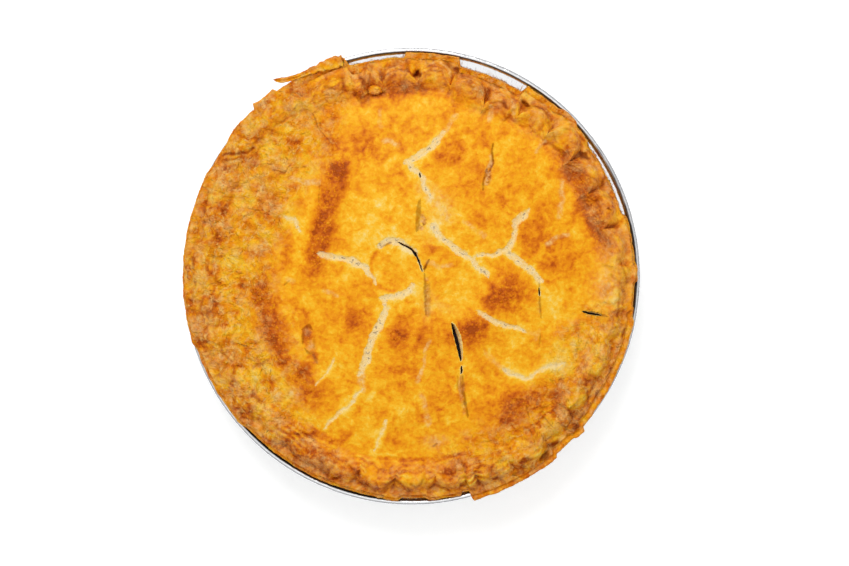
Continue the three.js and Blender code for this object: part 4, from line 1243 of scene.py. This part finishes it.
def makeCurl():
    # a rolled flake: an egg shape with a dent along its top and a ragged skin
    across, around = 20, 28
    lat = np.linspace(0.06, np.pi - 0.06, across)[:, None]
    lon = np.linspace(0, 2 * np.pi, around, endpoint=False)[None, :]
    u, v, w = np.cos(lat) + 0 * lon, np.sin(lat) * np.cos(lon), np.sin(lat) * np.sin(lon)
    rag = 1 + 0.12 * fractal(6 * u + 3 * w, 6 * v, 2.2, 3, 121)
    lx = curl["halfLong"] * signedPower(u, 0.8) * rag
    ly = curl["halfWide"] * v * rag * (1 - 0.25 * u)
    lz = curl["halfHigh"] * w * rag - 0.5 * peak((ly + 0.3) / 0.7) * (w > 0)
    c, s = np.cos(np.radians(curl["turn"])), np.sin(np.radians(curl["turn"]))
    angle = np.degrees(np.arctan2(curl["y"], curl["x"])) % 360
    inward = lidEdge(angle) - np.hypot(curl["x"], curl["y"])
    seat, _ = lidForm(np.array([angle]), np.array([inward]))
    x, y = curl["x"] + c * lx - s * ly, curl["y"] + s * lx + c * ly
    rows = np.stack([x, y, lz + seat[0, 2] + 0.7], -1)
    points, faces = closedSkin(rows, rows[0].mean(0), rows[-1].mean(0))
    # faces turn outwards
    start, outwards = points[0], points[0] - points[:-2].mean(0)
    if np.cross(points[1] - start, points[around] - start) @ outwards > 0:
        faces = [group[:, ::-1] for group in faces]
    # paler on top and browner down the sides: painted light and shade, with random browning
    bake = 0.72 - 0.14 * smooth(0.5, 0.9, w) + 0.2 * fractal(5 * u, 5 * v, 2, 2, 122)
    fields = doughFields(len(points), bake=np.append(bake.ravel(), [0.8, 0.8]))
    return addPiece("curl", makeMesh("curl", points, faces, fields))


lidPiece = makeLid()
combine(lidPiece, [makeCurl()], "UNION")
combine(lidPiece, [slitCutter(*slit) for slit in openSlits], "DIFFERENCE")
lidPiece.data.set_sharp_from_angle(angle=np.radians(62))
putInPlace(lidPiece, "lid_crust", crustMaterial)
print("stage: lid crust", len(lidPiece.data.polygons), "faces")

# Base crust: lines the tin and shows as a torn ledge round the lid.
base = {
    "columns": 1200,
    "lipRise": 0.28,
    "ragged": 0.6,
}
scrap = {
    # points and width there, from the right end to the tip
    "line": ((-34, 107.6, 5.6), (-40, 106.2, 6), (-45, 104.3, 4.6), (-50, 102.6, 3.2),
             (-55, 100.5, 2.4), (-60, 98.7, 2.6), (-65, 97.8, 2.8), (-69, 98.2, 1)),
    "top": 34.9,
    "bottom": 31.6,
}


def rounded(before, corner, after, radius, steps):
    # a quadratic curve that rounds a corner of a profile
    before, corner, after = (np.array(p, float) for p in (before, corner, after))
    start = corner + radius * (before - corner) / np.linalg.norm(before - corner)
    end = corner + radius * (after - corner) / np.linalg.norm(after - corner)
    t = np.linspace(0, 1, steps + 1)[:, None]
    return [tuple(p) for p in (1 - t) ** 2 * start + 2 * t * (1 - t) * corner + t**2 * end]


def tinLine(steps):
    # the foil's middle line from the axis to the foot of the bead
    floor = tin["foil"] / 2
    rib = [(r, floor + rise) for r, rise in tin["floorRib"]]
    heel = (tin["floorRadius"], floor)
    mouth = (tin["mouthRadius"], tinHeight - tin["flangeDrop"])
    lipRadius = tinRadius - 2 * tin["beadRadius"] + 0.1
    lip = (lipRadius, mouth[1] + tin["flangeSlope"] * (lipRadius - mouth[0]))
    return np.array(
        [(0, floor)] + rib + rounded(rib[-1], heel, mouth, 4, steps)
        + rounded(heel, mouth, lip, 2, steps) + [lip]
    )


def beside(line, distance):
    # a line beside another, mitred at the corners; positive is the upper side
    steps = np.diff(line, axis=0)
    steps /= np.linalg.norm(steps, axis=1, keepdims=True)
    normals = np.stack([-steps[:, 1], steps[:, 0]], -1)
    first = np.concatenate([normals[:1], normals])
    last = np.concatenate([normals, normals[-1:]])
    bisector = first + last
    bisector /= np.linalg.norm(bisector, axis=1, keepdims=True)
    return line + bisector * distance / np.sum(bisector * first, axis=1, keepdims=True)


def flangeTop(r):
    # the upper face of the tin's flange, a shallow cone
    low = tinHeight - tin["flangeDrop"] + tin["foil"] / 2
    return low + tin["flangeSlope"] * (r - tin["mouthRadius"])


def ledgeFloor(r):
    # the ledge's underside: a gap above the flange, and further out a gap above the bead
    return dough["gap"] + mix(flangeTop(r), tinHeight + 0.05, smooth(107.5, 110.6, r))


def makeBase():
    # rows of points from the middle of the floor up the inside, over the ledge and back below
    count = base["columns"]
    angle = np.arange(count) * 360 / count
    turn = np.radians(angle)
    ex, ey = dough["edgeRadius"] * np.cos(turn), dough["edgeRadius"] * np.sin(turn)
    rag = base["ragged"] * (fractal(ex, ey, 7, 4, 141) + 0.4 * folds(ex, ey, 3, 2, 142) - 0.2)
    outer = baseEdge(angle) + rag
    inner = lidEdge(angle)
    rows, fieldRows = [], []

    def row(r, z, bake=0.45, flaky=0.7, hollowShade=0.0, pale=0.0):
        rows.append(ringAt(r, turn, z))
        fieldRows.append([value + 0 * turn for value in (bake, flaky, hollowShade, pale)])

    wall = tin["foil"] / 2 + dough["gap"]
    inside = beside(tinLine(2), wall + dough["thickness"])
    floorTop = tin["foil"] + 1 + dough["gap"] + dough["thickness"]
    for r, z in inside:
        if tin["floorRadius"] - 6 < r < tin["mouthRadius"] - 4:
            row(r, max(z, floorTop))
    ledge = dough["ledgeTop"]
    row(dough["domeRadius"] + 1.2, ledge)
    row(inner - 3, ledge)
    row(inner - 0.7, ledge + 0.2)
    lip = base["lipRise"] * sumOfArcs(angle, dough["wideLedges"])
    for share in (0.04, 0.16, 0.3, 0.44, 0.58, 0.72, 0.86, 0.97):
        r = mix(inner, outer - 0.5, share)
        x, y = r * np.cos(turn), r * np.sin(turn)
        rough = 0.5 * fractal(x, y, 5, 3, 151) + 0.4 * layers(fractal(x, y, 4, 2, 152), 4, 0.4)[0]
        z = ledge + 0.1 + lip * share**1.5 + rough * smooth(0, 0.3, share)
        bake = 0.62 + 0.24 * fractal(x, y, 6, 3, 153) - 0.08 * share + 0.1 * smooth(0.7, 1, share)
        pale = 0.5 * smooth(0, 0.45, fractal(x, y, 6, 2, 154))
        # painted shade at the inner end of the ledge, under the lid's edge
        row(r, z, bake, 0.8, 0.2 * bell(share / 0.2), pale)
    top = ledge + lip
    floor = ledgeFloor(outer - 0.6)
    for share, out in ((0.12, 0.28), (0.35, 0.06), (0.6, -0.02), (0.85, 0.12), (1.0, 0.6)):
        z = mix(top + 0.05, floor, share)
        layer = 0.18 * np.sin(9 * share + 3 * fractal(ex, ey, 9, 2, 161))
        bake = 0.5 + 0.15 * share + 0.2 * fractal(ex, ey + 20 * share, 5, 2, 162)
        # painted shade growing towards the underside of the ledge's edge
        row(outer - out - layer, z, bake, 0.9, 0.1 * share)
    rest = np.minimum(outer - 1.6, dough["edgeRadius"] - 2.4)
    row(rest, ledgeFloor(rest))
    outside = beside(tinLine(2)[:-1], wall)
    for r, z in outside[::-1]:
        if r > 1:
            row(r, z)
    points, faces = closedSkin(rows, (0, 0, floorTop), (0, 0, tin["foil"] + dough["gap"]))
    fields = doughFields(len(points))
    for key, label in enumerate(("bake", "flaky", "hollowShade", "pale")):
        fields[label][:-2] = np.concatenate([fieldRow[key] for fieldRow in fieldRows])
    return addPiece("base_crust_skin", makeMesh("base_crust_skin", points, faces, fields))


def makeScrap():
    # a flat torn strip: a flattened tube along a bent line, thinner towards its tip
    line = np.array(scrap["line"], float)
    along, around = 72, 32
    lengths = lengthsAlong(line)
    t = np.linspace(0, 1, along)
    curve = np.polyfit(lengths / lengths[-1], line[:, :2], 5)
    px, py = (np.polyval(curve[:, k], t) for k in (0, 1))
    right = rightOf(px, py)
    ends = np.clip(np.minimum(t / 0.015, (1 - t) / 0.04), 0, 1) ** 0.5
    rag = 1 + 0.45 * fractal(36 * t, 0 * t, 3, 3, 171)
    half = 0.5 * np.interp(t, lengths / lengths[-1], line[:, 2]) * rag * ends
    rag = 1 + 0.25 * bumps(36 * t, 9 + 0 * t, 4, 172)
    thick = 0.5 * mix(scrap["top"] - scrap["bottom"], 1.3, t**0.8) * rag * ends
    phi = np.linspace(0, 2 * np.pi, around, endpoint=False)
    side, lift = signedPower(np.cos(phi), 0.8), signedPower(np.sin(phi), 0.9)
    centre = 0.5 * (scrap["top"] + scrap["bottom"]) + 0.9 * t + 0.5 * np.sin(7 * t)
    x = px[:, None] + right[:, :1] * side * half[:, None]
    y = py[:, None] + right[:, 1:] * side * half[:, None]
    z = centre[:, None] + lift * thick[:, None]
    crimp = np.sin(5 * side + 4 * fractal(36 * t, 0 * t, 9, 2, 176)[:, None])
    z = z + (0.6 * fractal(x, y, 3, 3, 173) + 0.35 * crimp) * (lift > 0)
    # yellow along its outer edge, orange along the inner one, brown at the blunt end
    bake = 0.5 + 0.2 * fractal(x, y, 4, 2, 174) + 0.16 * side
    bake = bake + 0.3 * peak(t[:, None] / 0.05) * (side > 0)
    pale = 0.5 * smooth(0.0, 0.4, fractal(x, y, 3, 2, 175))
    bake, pale = np.append(bake.ravel(), [0.5, 0.5]), np.append(pale.ravel(), [0, 0])
    rows = np.stack([x, y, z], -1)
    points, faces = closedSkin(rows, rows[0].mean(0), rows[-1].mean(0))
    fields = doughFields(len(points), bake=bake, pale=pale, flaky=0.8)
    return addPiece("scrap", makeMesh("scrap", points, faces, fields))


basePiece = makeBase()
combine(basePiece, [makeScrap()], "UNION")
basePiece.data.set_sharp_from_angle(angle=np.radians(62))
putInPlace(basePiece, "base_crust", crustMaterial)
print("stage: base crust", len(basePiece.data.polygons), "faces")

# Filling: packed fruit under the lid, seen through the open slits.
fruit = {"columns": 240, "berry": 9.0, "relief": 1.1}


def makeFilling():
    # a domed top of packed fruit with a smooth side that follows the base crust
    count = fruit["columns"]
    turn = np.arange(count) * 2 * np.pi / count
    rows = []
    for r in np.concatenate([np.arange(2, 96, 2.0), [dough["domeRadius"]]]):
        x, y = r * np.cos(turn), r * np.sin(turn)
        first, second, _ = cellGaps(x, y, fruit["berry"], 181)
        low = fruit["relief"] * np.clip(first * 1.3, 0, 1) ** 2 * (1 - smooth(88, 96, r))
        rows.append(ringAt(r, turn, lidFloor(r) - dough["gap"] - low))
    wall = beside(tinLine(2), tin["foil"] / 2 + 2 * dough["gap"] + dough["thickness"])
    floor = tin["foil"] + 1 + 2 * dough["gap"] + dough["thickness"]
    for r, z in wall[::-1]:
        if tin["floorRadius"] - 6 < r < tin["mouthRadius"] - 4:
            rows.append(ringAt(r, turn, max(z, floor)))
    points, faces = closedSkin(rows, (0, 0, lidFloor(0) - dough["gap"] - 0.3), (0, 0, floor))
    return addPiece("blueberry_filling_fruit", makeMesh("blueberry_filling_fruit", points, faces))


putInPlace(makeFilling(), "blueberry_filling", fillingFinish())
print("stage: filling")

# Foil tin: pressed sheet with a rolled bead.
foilSheet = {
    "ribs": 288,
    "perRib": 4,
    "ribDepth": 0.12,
    "wallPleat": 0.28,
    "beadSteps": 34,
    # painted shade and reflection in the groove between flange and bead: radius, half width and darkness
    # round the rim
    "creaseAt": 113.0,
    "creaseOut": ((345, 390, -0.4, 20), (40, 110, -0.7, 20), (195, 300, -0.8, 20)),
    "creaseHalf": 0.26,
    "creaseWider": ((200, 236, 0.3, 12), (248, 262, 0.2, 8), (345, 390, 0.25, 20)),
    "creaseDark": 0.6,
    "creaseDarker": ((195, 265, 0.5, 8), (340, 390, 0.3, 20), (40, 110, 0.4, 20)),
}


def makeTin():
    # the foil's profile carried round, both faces and the rolled bead, with pressed ribs
    count = foilSheet["ribs"] * foilSheet["perRib"]
    angle = np.arange(count) * 360 / count
    turn = np.radians(angle)
    line = tinLine(3)
    dense = [line[0]]
    for a, b in zip(line[:-1], line[1:]):
        extra = 5 if b[1] - a[1] > 8 else (8 if a[0] > tin["mouthRadius"] + 1 else 1)
        dense += [mix(a, b, (k + 1) / extra) for k in range(extra)]
    dense = np.array(dense)
    below, above = beside(dense, -tin["foil"] / 2), beside(dense, tin["foil"] / 2)[::-1]
    bead = np.array([tinRadius - tin["beadRadius"], tinHeight - tin["beadRadius"]])
    roll = np.radians(np.linspace(-150, 150, foilSheet["beadSteps"]))
    ring = bead + tin["beadRadius"] * np.stack([np.cos(roll), np.sin(roll)], -1)
    profile = np.concatenate([below[1:], ring, above[:-1]])
    slope = np.gradient(profile, axis=0)
    slope /= np.linalg.norm(slope, axis=1, keepdims=True)
    upper = np.arange(len(profile)) >= len(below) - 1 + len(ring)
    rows, shadedCrease = [], []
    ribWave = np.cos(foilSheet["ribs"] * turn)
    tx, ty = 100 * np.cos(turn), 100 * np.sin(turn)
    uneven = 0.65 + 0.5 * fractal(tx, ty, 9, 2, 191)
    gapDark = foilSheet["creaseDark"] + sumOfArcs(angle, foilSheet["creaseDarker"])
    gapDark = gapDark + 0.5 * fractal(tx, ty, 6, 3, 193)
    gapAt = foilSheet["creaseAt"] + sumOfArcs(angle, foilSheet["creaseOut"])
    gapHalf = foilSheet["creaseHalf"] + sumOfArcs(angle, foilSheet["creaseWider"])
    for (r, z), (sr, sz), isUpper in zip(profile, slope, upper):
        lowest = bead[1] - tin["beadRadius"] - 0.1
        onBead = abs(r - bead[0]) < tin["beadRadius"] + 0.2 and z > lowest
        onFlange = smooth(tin["mouthRadius"] + 0.5, tin["mouthRadius"] + 2.5, r)
        onWall = smooth(4, 20, z) * (1 - onFlange)
        depth = 0 if onBead else foilSheet["ribDepth"] * onFlange + foilSheet["wallPleat"] * onWall
        normal = np.array([sz, -sr]) * (-1 if isUpper else 1)
        wave = depth * ribWave * uneven
        dent = 0.12 * fractal(tx, ty + z, 18, 2, 192) * smooth(3, 10, z)
        rr = r + (wave + dent) * (-normal[0])
        zz = np.maximum(z - wave * normal[1] * (not onBead), 0 if z > 0.01 else z)
        rows.append(ringAt(rr, turn, zz))
        # painted shade and reflection along the groove by the bead, on the upper faces
        isTop = z > bead[1] - 0.4 or isUpper
        inCrease = peak((r - gapAt) / gapHalf) * isTop
        shadedCrease.append(np.clip(inCrease * gapDark * 1.1, 0, 1))
    points, faces = closedSkin(rows, (0, 0, 0), (0, 0, tin["foil"]))
    faces = [group[:, ::-1] for group in faces]  # the rows run from below to above
    fields = {"shadedCrease": np.append(np.concatenate(shadedCrease), [0, 0])}
    return addPiece("foil_tin_sheet", makeMesh("foil_tin_sheet", points, faces, fields))


tinPiece = makeTin()
putInPlace(tinPiece, "foil_tin", foilFinish())
print("stage: foil tin", len(tinPiece.data.polygons), "faces")

# Floor, light and camera.
studio = {
    "floorColour": (253, 253, 252),
    "floorGlow": 0.3,
    "keyPower": 14.5,
    "keyPlace": (-0.3, 1.15, 1.5),
    "keySize": 1.1,
    "topPower": 4.2,
    "topPlace": (0.1, -0.2, 1.9),
    "topSize": 1.8,
    "worldStrength": 0.65,
    "lens": 135,
    "sensor": 36,
    "frameWidth": 849,
    "pixel": 0.5,  # millimetres on the rim's plane
    "aim": (6.5, -3.35),
}


def makeFloor():
    half = 3.0
    corners = np.array([(-half, -half, 0), (half, -half, 0), (half, half, 0), (-half, half, 0)]) / mm
    mesh = makeMesh("floor", corners, [np.array([[0, 1, 2, 3]])])
    floor = addPiece("floor", mesh)
    finish = Finish("paleFloor")
    finish.shader.inputs["Base Color"].default_value = linear(studio["floorColour"])
    finish.shader.inputs["Roughness"].default_value = 0.9
    finish.shader.inputs["Specular IOR Level"].default_value = 0.1
    finish.shader.inputs["Emission Color"].default_value = (1, 1, 1, 1)
    finish.shader.inputs["Emission Strength"].default_value = studio["floorGlow"]
    mesh.materials.append(finish.material)


def addLight(name, power, place, size):
    data = bpy.data.lights.new(name, "AREA")
    data.energy, data.size, data.shape = power, size, "DISK"
    lamp = bpy.data.objects.new(name, data)
    lamp.location = place
    towards = -np.array(place)
    lamp.rotation_euler = (np.arctan2(np.hypot(towards[0], towards[1]), -towards[2]), 0,
                           np.arctan2(towards[1], towards[0]) - np.pi / 2)
    bpy.context.collection.objects.link(lamp)


def makeWorld():
    # a white sky that falls off to a dark band at the horizon
    world = bpy.data.worlds.new("studio")
    world.use_nodes = True
    bpy.context.scene.world = world
    tree = world.node_tree
    sky = tree.nodes["Background"]
    place = tree.nodes.new("ShaderNodeTexCoord")
    split = tree.nodes.new("ShaderNodeSeparateXYZ")
    ramp = tree.nodes.new("ShaderNodeValToRGB")
    tree.links.new(place.outputs["Generated"], split.inputs[0])
    tree.links.new(split.outputs["Z"], ramp.inputs["Fac"])
    tree.links.new(ramp.outputs["Color"], sky.inputs["Color"])
    ramp.color_ramp.elements[0].position = 0.1
    ramp.color_ramp.elements[0].color = (0.12, 0.11, 0.1, 1)
    ramp.color_ramp.elements[1].position = 0.5
    ramp.color_ramp.elements[1].color = (1, 1, 1, 1)
    sky.inputs["Strength"].default_value = studio["worldStrength"]


def makeCamera():
    # straight above; the lens and the frame's width on the rim's plane give the distance
    data = bpy.data.cameras.new("camera")
    data.lens, data.sensor_width = studio["lens"], studio["sensor"]
    data.clip_end = 20
    camera = bpy.data.objects.new("camera", data)
    away = studio["frameWidth"] * studio["pixel"] * studio["lens"] / studio["sensor"]
    camera.location = (studio["aim"][0] * mm, studio["aim"][1] * mm, (tinHeight + away) * mm)
    bpy.context.collection.objects.link(camera)
    bpy.context.scene.camera = camera


makeFloor()
addLight("key", studio["keyPower"], studio["keyPlace"], studio["keySize"])
addLight("top", studio["topPower"], studio["topPlace"], studio["topSize"])
makeWorld()
makeCamera()
bpy.context.scene.view_settings.view_transform = "Standard"
print("stage: floor, light and camera")
